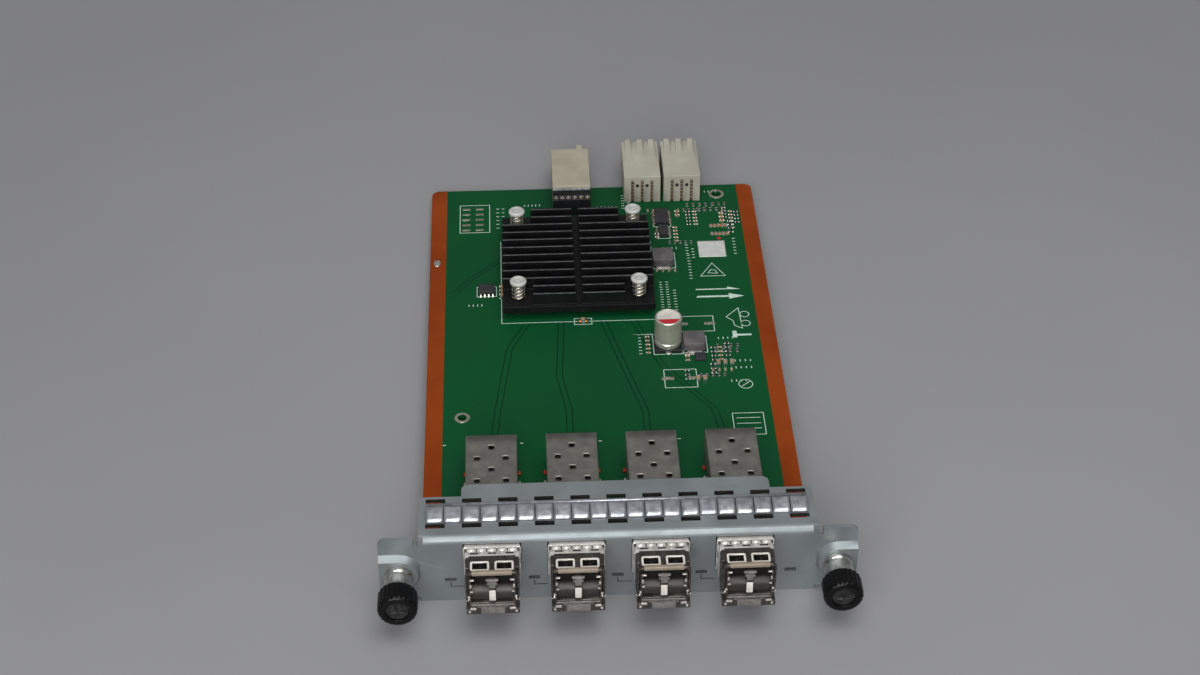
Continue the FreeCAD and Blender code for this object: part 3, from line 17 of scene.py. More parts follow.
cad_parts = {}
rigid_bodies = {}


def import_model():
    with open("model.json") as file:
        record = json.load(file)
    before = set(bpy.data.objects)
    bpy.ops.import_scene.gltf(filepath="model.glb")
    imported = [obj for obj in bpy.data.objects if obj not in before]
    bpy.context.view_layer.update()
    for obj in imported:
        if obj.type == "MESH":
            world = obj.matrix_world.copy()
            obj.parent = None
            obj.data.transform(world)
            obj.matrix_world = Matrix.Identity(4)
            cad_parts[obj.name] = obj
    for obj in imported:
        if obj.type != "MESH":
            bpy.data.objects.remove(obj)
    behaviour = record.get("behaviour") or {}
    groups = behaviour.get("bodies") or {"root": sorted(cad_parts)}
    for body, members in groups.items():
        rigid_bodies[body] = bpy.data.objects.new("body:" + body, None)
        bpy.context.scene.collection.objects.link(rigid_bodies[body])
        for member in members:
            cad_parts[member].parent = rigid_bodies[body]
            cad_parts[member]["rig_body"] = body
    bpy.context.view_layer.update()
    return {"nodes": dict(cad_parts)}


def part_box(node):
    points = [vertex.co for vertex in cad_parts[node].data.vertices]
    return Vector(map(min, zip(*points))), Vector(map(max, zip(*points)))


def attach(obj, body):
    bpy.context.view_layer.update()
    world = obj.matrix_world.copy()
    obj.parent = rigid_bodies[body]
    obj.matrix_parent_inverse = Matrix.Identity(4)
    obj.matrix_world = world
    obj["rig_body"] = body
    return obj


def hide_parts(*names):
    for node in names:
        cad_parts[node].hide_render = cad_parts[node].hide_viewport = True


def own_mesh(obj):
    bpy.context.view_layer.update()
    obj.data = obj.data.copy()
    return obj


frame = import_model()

MM = 0.001
MERGE = 2e-6
BEVEL_ABOVE = 35
FLAT_WITHIN = 1.0
SHARP_ABOVE = 30
LOG = logging.getLogger("line_card")
Node = bpy.types.Object
Span = tuple[float, float]
Colour = tuple[float, float, float]
Place = tuple[float, float, float]
PORTS = range(1, 5)
SIDES = (-1, 1)
WAYS = {"x": (1, 0), "y": (0, 1)}


# ------------------------------------------------------------------- shapes

class Axis(Enum):
    """The card's axes, each with the order that puts a form's own a, b, c on X, Y, Z."""

    X = (2, 0, 1)
    Y = (0, 2, 1)
    Z = (0, 1, 2)


def laid(a: np.ndarray, b: np.ndarray, c: np.ndarray, axis: Axis) -> np.ndarray:
    """Stacks a form's own three coordinates so that c runs along the given axis.

    Args:
        a: First coordinate across the axis.
        b: Second coordinate across the axis.
        c: Coordinate along the axis.
        axis: Axis that c runs along.

    Returns:
        The points, with X, Y, Z last.
    """
    parts = np.broadcast_arrays(a, b, c)
    return np.stack([parts[index] for index in axis.value], -1).astype(float)


def eased(points: np.ndarray, radius: float, steps: int = 4) -> np.ndarray:
    """Rounds the inner corners of a line of points.

    Each corner P becomes a quadratic curve from a point short of P by the radius to one past it:
    (1-t)^2 A + 2t(1-t) P + t^2 B.

    Args:
        points: Line of points, one row each.
        radius: Length taken from each side of a corner, at most half of that side.
        steps: Points on each curve.

    Returns:
        The rounded line.
    """
    points = np.asarray(points, float)
    run = np.diff(points, axis=0)
    length = np.linalg.norm(run, axis=1, keepdims=True)
    unit = run / np.maximum(length, 1e-9)
    take = np.minimum(radius, length / 2)
    corner = points[1:-1]
    before = corner - unit[:-1] * take[:-1]
    after = corner + unit[1:] * take[1:]
    t = np.linspace(0, 1, steps)[None, :, None]
    curve = ((1 - t) ** 2 * before[:, None] + 2 * t * (1 - t) * corner[:, None]
             + t ** 2 * after[:, None])
    return np.vstack([points[:1], curve.reshape(-1, points.shape[1]), points[-1:]])


def tipped(line: np.ndarray, radius: float) -> np.ndarray:
    """A line with its inner corners rounded and its first and last runs kept straight."""
    return np.vstack([line[:1], eased(line[1:-1], radius), line[-1:]])


def turned(profile: np.ndarray, centre: np.ndarray, axis: Axis, sides: int = 48) -> np.ndarray:
    """A turned form: a profile's radius r and height h give (r cos v, r sin v, h) round the axis.

    Args:
        profile: Rows of radius and height.
        centre: Point that the heights count from.
        axis: Axis of the form.
        sides: Steps round the axis.

    Returns:
        Grid of points, profile by angle.
    """
    profile = np.asarray(profile, float)
    angle = np.linspace(0, 2 * np.pi, sides, endpoint=False)
    radius = profile[:, :1]
    grid = laid(radius * np.cos(angle), radius * np.sin(angle), profile[:, 1:2], axis)
    return grid + np.asarray(centre, float)


def round_corners(width: float, depth: float, corner: float, inset: np.ndarray,
                  steps: int = 4) -> np.ndarray:
    """Rounded rectangles drawn in by an inset: corner centres plus (corner - inset) unit arcs.

    Args:
        width: Size along the first direction.
        depth: Size along the second.
        corner: Corner radius.
        inset: How far each outline is drawn in.
        steps: Points on each corner.

    Returns:
        Outlines, inset by point by 2.
    """
    arc = (np.arange(4)[:, None] * np.pi / 2 + np.linspace(0, np.pi / 2, steps)).ravel()
    unit = np.stack([np.cos(arc), np.sin(arc)], -1)
    sign = np.repeat(np.array([[1, 1], [-1, 1], [-1, -1], [1, -1]]), steps, axis=0)
    middle = sign * np.array([width / 2 - corner, depth / 2 - corner])
    return middle[None] + (corner - inset)[:, None, None] * unit[None]


def block(low: np.ndarray, high: np.ndarray, corner: float, rim: float, axis: Axis = Axis.Z,
          steps: int = 4) -> np.ndarray:
    """A block with rounded uprights and rims: outlines drawn in by a quarter circle near both ends.

    Args:
        low: Lowest corner.
        high: Highest corner.
        corner: Radius of the edges along the axis.
        rim: Radius of the edges round both ends, at most the corner's.
        axis: Axis that the rings are stacked along.
        steps: Points on each corner.

    Returns:
        Grid of points, ring by corner point.
    """
    low, high = np.asarray(low, float), np.asarray(high, float)
    order = np.argsort(axis.value)
    size, middle = (high - low)[order], ((high + low) / 2)[order]
    corner = min(corner, size[0] / 2, size[1] / 2)
    rim = min(rim, corner, size[2] / 2)
    turn = np.linspace(0, np.pi / 2, 3)
    inset = np.concatenate([rim * (1 - np.sin(turn)), rim * (1 - np.cos(turn))])
    rise = np.concatenate([rim * (1 - np.cos(turn)), size[2] - rim * (1 - np.sin(turn))])
    rings = round_corners(size[0], size[1], corner, inset, steps)
    return laid(rings[..., 0] + middle[0], rings[..., 1] + middle[1],
                (rise - size[2] / 2 + middle[2])[:, None], axis)


def carried(path: np.ndarray, section: np.ndarray, normal: np.ndarray) -> np.ndarray:
    """A section carried along a path: P + side * s + up * t, with side = tangent x normal.

    Args:
        path: Points of the path.
        section: Rows of s and t.
        normal: Direction, or one direction for each point, that t leans to.

    Returns:
        Grid of points, path by section.
    """
    path, section = np.asarray(path, float), np.asarray(section, float)
    tangent = np.gradient(path, axis=0)
    side = np.cross(tangent, np.broadcast_to(normal, path.shape))
    side /= np.maximum(np.linalg.norm(side, axis=1, keepdims=True), 1e-9)
    up = np.cross(side, tangent)
    up /= np.maximum(np.linalg.norm(up, axis=1, keepdims=True), 1e-9)
    return path[:, None] + side[:, None] * section[:, :1] + up[:, None] * section[:, 1:]


def circle(radius: float, sides: int) -> np.ndarray:
    """A round section: (r cos v, r sin v)."""
    angle = np.linspace(0, 2 * np.pi, sides, endpoint=False)
    return radius * np.stack([np.cos(angle), np.sin(angle)], -1)


def helix(centre: np.ndarray, radius: float, turns: float, rise: float, axis: Axis,
          steps: int = 24) -> np.ndarray:
    """A helix whose end turns lie flat: (r cos u, r sin u), and the height eased at both ends.

    Args:
        centre: Middle of its first end.
        radius: Radius of the wire's centre line.
        turns: Number of turns.
        rise: Height from end to end.
        axis: Axis of the helix.
        steps: Points in each turn.

    Returns:
        Points of the path.
    """
    t = np.linspace(0, 1, int(turns * steps) + 1)
    flat = 0.45 / turns
    height = rise * np.clip((t - flat) / (1 - 2 * flat), 0, 1)
    angle = 2 * np.pi * turns * t
    line = laid(radius * np.cos(angle), radius * np.sin(angle), height, axis)
    return line + np.asarray(centre, float)


def ribbon(points: np.ndarray, width: float, low: float, high: float,
           closed: bool = False) -> np.ndarray:
    """A flat line with mitred corners: P plus or minus half its width x (n1 + n2) / (1 + n1.n2).

    Args:
        points: Line of X and Y.
        width: Width of the line.
        low: Height of its underside.
        high: Height of its top.
        closed: True for a loop.

    Returns:
        Grid of points, line by four section corners.
    """
    points = np.asarray(points, float)
    ahead = np.roll(points, -1, axis=0) - points
    if not closed:
        ahead[-1] = ahead[-2]
    unit = ahead / np.maximum(np.linalg.norm(ahead, axis=1, keepdims=True), 1e-9)
    after = np.stack([-unit[:, 1], unit[:, 0]], -1)
    before = np.roll(after, 1, axis=0)
    if not closed:
        before[0] = after[0]
    mitre = (before + after) / np.maximum(1 + (before * after).sum(1, keepdims=True), 0.2)
    across = np.array([-1, 1, 1, -1])[None, :, None] * width / 2
    flat = points[:, None] + mitre[:, None] * across
    height = np.broadcast_to(np.array([low, low, high, high])[None, :, None], flat.shape[:2] + (1,))
    return np.concatenate([flat, height], -1)


def plate(outline: np.ndarray, low: float, high: float) -> np.ndarray:
    """An outline raised from one height to another."""
    outline = np.asarray(outline, float)
    return laid(outline[:, 0], outline[:, 1], np.array([low, high])[:, None], Axis.Z)


def rectangle(x: Span, y: Span) -> np.ndarray:
    """Corners of an upright rectangle."""
    return np.array([[x[0], y[0]], [x[1], y[0]], [x[1], y[1]], [x[0], y[1]]], float)


def about(middle: float, size: float) -> Span:
    """A span of the given size round its middle."""
    return middle - size / 2, middle + size / 2


# ----------------------------------------------------------------- finishes

def tone(red: int, green: int, blue: int) -> Colour:
    """A colour from its screen values, as the linear light that the shader takes.

    Args:
        red: Red, 0 to 255.
        green: Green.
        blue: Blue.

    Returns:
        Linear red, green and blue.
    """
    share = np.array([red, green, blue]) / 255
    light = np.where(share <= 0.04045, share / 12.92, ((share + 0.055) / 1.055) ** 2.4)
    return tuple(float(value) for value in light)


class Sockets:
    """Small helper that makes a node tree's nodes and links."""

    def __init__(self, tree: bpy.types.NodeTree) -> None:
        """Keeps the tree that the nodes go into."""
        self.tree = tree

    def node(self, kind: str, **values: object) -> bpy.types.Node:
        """Makes a node and sets its properties.

        Args:
            kind: Blender's name of the node type.
            values: Properties to set.

        Returns:
            The node.
        """
        made = self.tree.nodes.new(kind)
        for name, value in values.items():
            setattr(made, name, value)
        return made

    def feed(self, target: bpy.types.NodeSocket, source: object) -> None:
        """Links a socket to another, or sets its value.

        Args:
            target: Socket to feed.
            source: Another node's output, or a value.
        """
        if isinstance(source, bpy.types.NodeSocket):
            self.tree.links.new(source, target)
        elif isinstance(source, tuple) and len(source) == 3 and target.type == "RGBA":
            target.default_value = (*source, 1.0)
        else:
            target.default_value = source

    def maths(self, operation: str, *values: object) -> bpy.types.NodeSocket:
        """A Math node on the given values or sockets.

        Args:
            operation: Blender's name of the operation.
            values: Its values or sockets.

        Returns:
            The result's socket.
        """
        made = self.node("ShaderNodeMath", operation=operation)
        for socket, value in zip(made.inputs, values):
            self.feed(socket, value)
        return made.outputs[0]

    def noise(self, vector: bpy.types.NodeSocket, scale: object,
              detail: float) -> bpy.types.NodeSocket:
        """A Noise Texture's value.

        Args:
            vector: Place that the noise is read at.
            scale: Scale, as a value or socket.
            detail: Number of octaves.

        Returns:
            The value's socket.
        """
        made = self.node("ShaderNodeTexNoise")
        self.feed(made.inputs["Vector"], vector)
        self.feed(made.inputs["Scale"], scale)
        made.inputs["Detail"].default_value = detail
        return made.outputs["Fac"]

    def ramp(self, value: object, low: object, high: object, to_low: object = 0.0,
             to_high: object = 1.0) -> bpy.types.NodeSocket:
        """A smooth Map Range from low..high to to_low..to_high.

        Args:
            value: Value or socket to map.
            low: Start of its range.
            high: End of its range.
            to_low: What the start gives.
            to_high: What the end gives.

        Returns:
            The result's socket.
        """
        made = self.node("ShaderNodeMapRange", interpolation_type="SMOOTHSTEP")
        for socket, source in zip(made.inputs[:5], (value, low, high, to_low, to_high)):
            self.feed(socket, source)
        return made.outputs[0]

    def mix(self, share: object, first: object, second: object) -> bpy.types.NodeSocket:
        """A colour mixed between two.

        Args:
            share: Share of the second colour.
            first: First colour.
            second: Second colour.

        Returns:
            The colour's socket.
        """
        made = self.node("ShaderNodeMix", data_type="RGBA")
        self.feed(made.inputs[0], share)
        self.feed(made.inputs[6], first)
        self.feed(made.inputs[7], second)
        return made.outputs[2]


def shared_group(name: str, inputs: dict[str, str],
                 outputs: dict[str, str]) -> tuple[Sockets, dict, dict]:
    """Makes a shader node group with named sockets.

    Args:
        name: Name of the group.
        inputs: Socket names and their types.
        outputs: Socket names and their types.

    Returns:
        The helper for its tree, its inner inputs by name, and its inner outputs by name.
    """
    tree = bpy.data.node_groups.new(name, "ShaderNodeTree")
    for sockets, side in ((inputs, "INPUT"), (outputs, "OUTPUT")):
        for label, kind in sockets.items():
            tree.interface.new_socket(name=label, in_out=side, socket_type="NodeSocket" + kind)
    inside = Sockets(tree)
    entry, leaving = inside.node("NodeGroupInput"), inside.node("NodeGroupOutput")
    return (inside, {label: entry.outputs[label] for label in inputs},
            {label: leaving.inputs[label] for label in outputs})


def tone_drift_group() -> bpy.types.NodeTree:
    """Cloudy drift between two tones, with fine specks on top.

    Returns:
        The group's tree.
    """
    inside, have, give = shared_group(
        "Tone drift", {"Place": "Vector", "First": "Color", "Second": "Color", "Scale": "Float",
                       "Specks": "Float"}, {"Colour": "Color"})
    cloud = inside.ramp(inside.noise(have["Place"], have["Scale"], 4.0), 0.32, 0.68)
    fine = inside.maths("MULTIPLY", have["Scale"], 9.0)
    speck = inside.ramp(inside.noise(have["Place"], fine, 2.0), 0.6, 0.75)
    share = inside.maths("MAXIMUM", cloud, inside.maths("MULTIPLY", speck, have["Specks"]))
    inside.feed(give["Colour"], inside.mix(share, have["First"], have["Second"]))
    return inside.tree


def handling_group() -> bpy.types.NodeTree:
    """Roughness with smudges and thin scratches, and the scratches' height.

    Returns:
        The group's tree.
    """
    inside, have, give = shared_group(
        "Handling marks", {"Place": "Vector", "Roughness": "Float", "Spread": "Float",
                           "Scale": "Float"}, {"Roughness": "Float", "Height": "Float"})
    smudge = inside.ramp(inside.noise(have["Place"], have["Scale"], 5.0), 0.35, 0.7, -1.0, 1.0)
    stretch = inside.node("ShaderNodeVectorMath", operation="MULTIPLY")
    inside.feed(stretch.inputs[0], have["Place"])
    stretch.inputs[1].default_value = (0.25, 3.2, 1.4)
    fine = inside.maths("MULTIPLY", have["Scale"], 4.0)
    scratch = inside.ramp(inside.noise(stretch.outputs[0], fine, 3.0), 0.62, 0.7)
    moved = inside.maths("MULTIPLY_ADD", smudge, have["Spread"], have["Roughness"])
    depth = inside.maths("MULTIPLY", have["Spread"], 0.8)
    scored = inside.maths("MULTIPLY_ADD", scratch, depth, moved)
    held = inside.maths("MINIMUM", inside.maths("MAXIMUM", scored, 0.06), 0.95)
    inside.feed(give["Roughness"], held)
    inside.feed(give["Height"], scratch)
    return inside.tree


def grain_group() -> bpy.types.NodeTree:
    """Height of a fine grain over a slower unevenness.

    Returns:
        The group's tree.
    """
    inside, have, give = shared_group(
        "Surface grain", {"Place": "Vector", "Scale": "Float", "Marks": "Float"},
        {"Height": "Float"})
    fine = inside.noise(have["Place"], have["Scale"], 3.0)
    slow = inside.noise(have["Place"], inside.maths("MULTIPLY", have["Scale"], 0.12), 2.0)
    both = inside.maths("MULTIPLY_ADD", slow, 1.6, fine)
    inside.feed(give["Height"], inside.maths("MULTIPLY_ADD", have["Marks"], -0.35, both))
    return inside.tree


GROUPS = {"drift": tone_drift_group(), "handling": handling_group(), "grain": grain_group()}


@dataclass(frozen=True)
class Finish:
    """One finish of the card: two tones that drift, sheen, smudges and grain.

    The scales count in turns to the millimetre, and the grain's height is in millimetres.
    """

    name: str
    slot: str
    first: Colour
    second: Colour
    roughness: float
    metallic: float = 0.0
    spread: float = 0.06
    drift_scale: float = 0.5
    specks: float = 0.2
    grain_scale: float = 3.0
    grain: float = 0.01
    coat: float = 0.0
    gloss: float = 0.5

    def material(self) -> bpy.types.Material:
        """The finish's material, made once."""
        return bpy.data.materials.get(self.name) or self.make()

    def make(self) -> bpy.types.Material:
        """Builds the material's nodes.

        Returns:
            The new material.
        """
        made = bpy.data.materials.new(self.name)
        made.use_nodes = True
        nodes = Sockets(made.node_tree)
        shader = made.node_tree.nodes["Principled BSDF"]
        place = nodes.node("ShaderNodeTexCoord").outputs["Object"]
        scaled = nodes.node("ShaderNodeMapping")
        scaled.inputs["Scale"].default_value = (1 / MM, 1 / MM, 1 / MM)
        nodes.feed(scaled.inputs["Vector"], place)
        place = scaled.outputs["Vector"]
        drift = self.placed(nodes, "drift", Place=place, First=self.first, Second=self.second,
                            Scale=self.drift_scale, Specks=self.specks)
        nodes.feed(shader.inputs["Base Color"], drift.outputs["Colour"])
        marks = self.placed(nodes, "handling", Place=place, Roughness=self.roughness,
                            Spread=self.spread, Scale=self.drift_scale * 1.7)
        nodes.feed(shader.inputs["Roughness"], marks.outputs["Roughness"])
        grain = self.placed(nodes, "grain", Place=place, Scale=self.grain_scale,
                            Marks=marks.outputs["Height"])
        bump = nodes.node("ShaderNodeBump")
        bump.inputs["Strength"].default_value = 1.0
        bump.inputs["Distance"].default_value = self.grain * MM
        nodes.feed(bump.inputs["Height"], grain.outputs["Height"])
        nodes.feed(shader.inputs["Normal"], bump.outputs["Normal"])
        shader.inputs["Metallic"].default_value = self.metallic
        shader.inputs["Coat Weight"].default_value = self.coat
        shader.inputs["Specular IOR Level"].default_value = self.gloss
        return made

    @staticmethod
    def placed(nodes: Sockets, group: str, **values: object) -> bpy.types.Node:
        """Puts a shared group into a material and feeds its sockets.

        Args:
            nodes: Helper of the material's tree.
            group: Key of the group.
            values: What feeds its sockets, by label.

        Returns:
            The group's node.
        """
        made = nodes.node("ShaderNodeGroup", node_tree=GROUPS[group])
        for label, value in values.items():
            nodes.feed(made.inputs[label], value)
        return made


ZINC = Finish("zinc_plated_sheet", "zinc_sheet", tone(142, 148, 151), tone(128, 134, 137), 0.45,
              0.55, spread=0.08, drift_scale=0.06, specks=0.12, grain_scale=2.2, grain=0.006)
# Painted shade: a dark tone for the upright walls inside the flange's slots.
SLOT_WALL_SHADE = Finish("painted_slot_wall_shade", "zinc_sheet", tone(52, 51, 50), tone(40, 39, 38), 0.60, 0.2,
                  drift_scale=0.3, grain_scale=2.2, grain=0.004, gloss=0.2)
TIN = Finish("tin_plated_strip", "spring_steel", tone(196, 199, 204), tone(158, 162, 168), 0.36,
             0.8, spread=0.10, drift_scale=0.35, specks=0.15, grain_scale=1.4, grain=0.008)
CAGE_SHEET = Finish("cage_sheet", "spring_steel", tone(136, 133, 126), tone(120, 117, 111), 0.42,
                    0.7, spread=0.08, drift_scale=0.25, specks=0.25, grain_scale=2.5, grain=0.006)
# Tone raised near white with little metal, so that the lamp's glare on the collar is painted into
# its colour over the bright sheet.
COLLAR_WITH_PAINTED_GLARE = Finish("collar_sheet_with_painted_glare", "spring_steel", tone(226, 222, 217), tone(206, 201, 195),
                0.30, 0.4, spread=0.05, drift_scale=0.4, specks=0.06, grain_scale=1.4, grain=0.003)
DIE_CAST = Finish("nickel_on_die_casting", "die_cast", tone(104, 98, 93), tone(82, 77, 73), 0.33,
                  0.88, spread=0.08, specks=0.3, grain_scale=2.6, grain=0.006)
# Near-white nickel: bright metal on the bail pins, and painted highlights on the catch ledges and
# lip clips.
BRIGHT_NICKEL_AND_GLINTS = Finish("bright_nickel_and_painted_glints", "die_cast", tone(240, 232, 224), tone(214, 205, 198), 0.22,
                0.80, grain_scale=2.4, grain=0.015)
# Near-white finish: the bright metal of the window rims, and on the divider a painted highlight
# standing for the light on the latch block.
WHITE_RIM_AND_LATCH_HIGHLIGHT = Finish("white_rims_and_painted_latch_highlight", "die_cast", tone(246, 240, 232), tone(226, 218, 208), 0.25,
               0.35, spread=0.05, specks=0.1, grain_scale=2.4, grain=0.006)
LIP = Finish("satin_nickel_lip", "die_cast", tone(146, 141, 138), tone(122, 117, 114), 0.42, 0.55,
             spread=0.08, drift_scale=0.7, specks=0.3, grain=0.02)
LINER = Finish("dark_port_liner", "black_plastic", tone(56, 50, 47), tone(47, 42, 39), 0.38, 0.3,
               spread=0.05, drift_scale=0.4, specks=0.1, grain=0.004)
# Near black for the ports' roofs, wells, side walls and window floors: painted shade, not a black
# part.
PORT_SHADE = Finish("painted_port_shade", "black_plastic", tone(24, 22, 21), tone(18, 17, 16), 0.55,
              spread=0.05, drift_scale=0.4, grain=0.006, gloss=0.2)
GRIP = Finish("sand_moulded_grip", "grip_beige", tone(138, 126, 111), tone(126, 114, 99), 0.40,
              drift_scale=0.3, specks=0.15, grain=0.006)
NICKEL = Finish("nickel_turned", "nickel", tone(216, 214, 208), tone(184, 182, 176), 0.20, 1.0,
                spread=0.08, grain_scale=2.5, grain=0.008)
SPRING = Finish("spring_wire", "nickel", tone(208, 202, 182), tone(176, 168, 146), 0.22, 1.0,
                drift_scale=0.8, specks=0.1, grain=0.004)
KNOB = Finish("black_fluted_plastic", "black_plastic", tone(11, 11, 12), tone(8, 8, 9), 0.26,
              spread=0.05, drift_scale=0.3, specks=0.1, grain_scale=4.0, grain=0.003, gloss=0.18)
DARK_STEEL = Finish("blackened_screw_head", "nickel", tone(74, 73, 74), tone(46, 46, 47), 0.32,
                    0.8, spread=0.10, drift_scale=0.8, specks=0.3)
# Black moulded plastic, and also the thin dark plates that paint the shade in the collar slots and
# connector pockets.
BLACK_PLASTIC_AND_SHADE = Finish("black_plastic_and_painted_shade", "black_plastic", tone(27, 27, 30), tone(20, 20, 22), 0.46,
               spread=0.08, drift_scale=0.2, grain_scale=4.0, grain=0.012)
MASK = Finish("green_solder_mask", "board_laminate", tone(8, 72, 36), tone(13, 67, 38), 0.40,
              drift_scale=0.02, specks=0.06, grain_scale=0.8, gloss=0.1)
MASK_DARK = Finish("solder_mask_over_traces", "board_laminate", tone(3, 46, 24), tone(6, 50, 27),
                   0.40, spread=0.05, drift_scale=0.05, specks=0.1, grain_scale=0.8, gloss=0.1)
STRIP = Finish("bare_guide_strip", "bare_strip", tone(134, 58, 16), tone(120, 49, 11), 0.50,
               spread=0.07, drift_scale=0.05, grain_scale=1.4, gloss=0.1)
INK = Finish("white_board_ink", "label_white", tone(196, 212, 201), tone(170, 190, 178), 0.60,
             spread=0.05, drift_scale=0.8, specks=0.4, grain_scale=5.0, grain=0.004)
PANEL_INK = Finish("grey_panel_ink", "black_plastic", tone(54, 56, 60), tone(66, 69, 73), 0.55,
                   spread=0.05, grain=0.004)
PAD_TIN = Finish("tinned_pad", "tinned", tone(206, 202, 190), tone(168, 160, 142), 0.30, 0.85,
                 spread=0.08, drift_scale=0.7, specks=0.3)
PAD_GOLD = Finish("gold_flash_pad", "bare_strip", tone(214, 152, 84), tone(184, 116, 62), 0.34,
                  0.7, spread=0.08, drift_scale=0.7, specks=0.3)
SOLDER = Finish("solder", "tinned", tone(222, 222, 218), tone(186, 186, 180), 0.22, 0.9,
                drift_scale=0.9, grain_scale=2.0, grain=0.02)
PIN = Finish("translucent_push_pin", "pin_white", tone(176, 177, 173), tone(166, 167, 163), 0.34,
             spread=0.04, drift_scale=0.3, specks=0.1, grain=0.004, gloss=0.4)
IVORY = Finish("ivory_connector", "header_white", tone(168, 165, 152), tone(158, 154, 141), 0.48,
               drift_scale=0.16, specks=0.12, grain=0.006, gloss=0.3)
BEIGE = Finish("beige_connector", "housing_beige", tone(162, 156, 139), tone(152, 145, 128), 0.48,
               drift_scale=0.14, specks=0.12, grain=0.006, gloss=0.3)
CONTACT = Finish("contact_brass", "bare_strip", tone(128, 96, 66), tone(92, 66, 46), 0.38, 0.5,
                 drift_scale=0.8, specks=0.3)
CAN = Finish("capacitor_sleeve", "can_aluminium", tone(168, 170, 155), tone(154, 156, 141), 0.36,
             0.45, drift_scale=0.2, specks=0.15, grain_scale=2.5, grain=0.008)
CAN_RING = Finish("capacitor_rolled_ring", "can_aluminium", tone(220, 219, 208), tone(196, 195,
                  184), 0.26, 0.8, spread=0.05, specks=0.1, grain_scale=2.5, grain=0.008)
CAN_TOP = Finish("capacitor_white_top", "label_white", tone(196, 194, 186), tone(184, 181, 172),
                 0.42, spread=0.05, drift_scale=0.4)
RED = Finish("red_polarity_segment", "label_white", tone(176, 30, 40), tone(158, 26, 36), 0.42,
             spread=0.05, grain=0.006)
LABEL = Finish("plain_paper_label", "label_white", tone(190, 191, 186), tone(178, 179, 174), 0.62,
               spread=0.05, specks=0.25, grain_scale=5.0)
FERRITE = Finish("inductor_ferrite", "ferrite", tone(98, 94, 95), tone(84, 80, 81), 0.50, 0.1,
                 spread=0.08, drift_scale=0.3)
FERRITE_DARK = Finish("inductor_foot", "ferrite", tone(84, 80, 84), tone(66, 63, 66), 0.55, 0.2,
                      spread=0.08, specks=0.5, grain_scale=4.0, grain=0.03)
CHIP = Finish("chip_moulding", "black_plastic", tone(42, 42, 46), tone(34, 34, 37), 0.55,
              spread=0.07, specks=0.3, grain_scale=6.0, grain=0.012)
CERAMIC = Finish("ceramic_chip", "chip_tan", tone(160, 132, 98), tone(134, 108, 80), 0.48,
                 drift_scale=0.9, specks=0.3, grain_scale=5.0)
AMBER = Finish("amber_chip", "chip_tan", tone(228, 160, 60), tone(206, 138, 44), 0.40,
               spread=0.05, drift_scale=0.9, grain_scale=5.0)
COPPER = Finish("red_copper_foot", "bare_strip", tone(176, 62, 38), tone(140, 44, 28), 0.40, 0.4,
                drift_scale=0.9, specks=0.3, grain_scale=4.0)
LENS = Finish("clear_lamp_lens", "lamp_lens", tone(196, 202, 194), tone(176, 184, 174), 0.30,
              spread=0.04, drift_scale=0.8, specks=0.1, grain_scale=4.0, grain=0.004, coat=0.2)
PAD_GREY = Finish("thermal_pad_grey", "pad_grey", tone(146, 150, 154), tone(130, 134, 138), 0.8,
                  spread=0.05, drift_scale=0.4, specks=0.4, grain=0.03)
ANODISED = Finish("anodised_fins", "black_anodised", tone(14, 14, 16), tone(10, 10, 12), 0.50,
                  drift_scale=0.1, grain_scale=2.0, grain=0.008, gloss=0.25)
FIN_EDGE = Finish("worn_fin_edge", "black_anodised", tone(122, 122, 124), tone(92, 92, 94), 0.42,
                  0.5, drift_scale=0.6, specks=0.5, grain_scale=4.0, grain=0.006)
FLOOR = Finish("grey_table", "", tone(136, 136, 138), tone(131, 131, 133), 0.55, spread=0.05,
               drift_scale=0.004, specks=0.04, grain_scale=0.3, grain=0.0)


# ------------------------------------------------------------------- pieces

def corners(node: str) -> tuple[np.ndarray, np.ndarray]:
    """A frame node's lowest and highest corners, in millimetres."""
    low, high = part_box(node)
    return np.array(low) / MM, np.array(high) / MM


def solids(node: str) -> list[tuple[np.ndarray, np.ndarray]]:
    """Boxes of a frame node's separate solids.

    Points in the same place share a label, and each edge passes on its lower label until none
    changes.

    Args:
        node: Name of the node.

    Returns:
        Lowest and highest corners of each solid, in millimetres, ordered by X and then Y.
    """
    mesh = frame["nodes"][node].data
    points = np.empty(len(mesh.vertices) * 3)
    mesh.vertices.foreach_get("co", points)
    points = points.reshape(-1, 3) / MM
    edges = np.empty(len(mesh.edges) * 2, int)
    mesh.edges.foreach_get("vertices", edges)
    _, shared = np.unique(np.round(points, 3), axis=0, return_inverse=True)
    shared = shared.ravel()
    start, end = shared[edges.reshape(-1, 2)].T
    label = np.arange(shared.max() + 1)
    while True:
        lower = np.minimum(label[start], label[end])
        after = label.copy()
        np.minimum.at(after, start, lower)
        np.minimum.at(after, end, lower)
        if (after == label).all():
            break
        label = after
    owner = label[shared]
    boxes = [(points[owner == one].min(0), points[owner == one].max(0)) for one in np.unique(owner)]
    return sorted(boxes, key=lambda box: (round(box[0][0], 2), round(box[0][1], 2)))


def body_of(node: str) -> str:
    """Name of the body that a frame node belongs to."""
    return frame["nodes"][node]["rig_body"]


def dress(finish: Finish, *nodes: str) -> None:
    """Gives frame nodes that stay visible their finish.

    Args:
        finish: Finish to give.
        nodes: Names of the nodes.
    """
    for node in nodes:
        materials = frame["nodes"][node].data.materials
        materials.clear()
        materials.append(finish.material())


def dressed(made: Node, body: str, stands_for: tuple[str, ...] = ()) -> Node:
    """Puts a finished piece on its body and reports it.

    Args:
        made: The piece.
        body: Body that it moves with.
        stands_for: Frame nodes that it replaces.

    Returns:
        The piece.
    """
    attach(made, body)
    if stands_for:
        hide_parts(*stands_for)
    LOG.info("%s: %d faces, on %s", made.name, len(made.data.polygons), body)
    return made


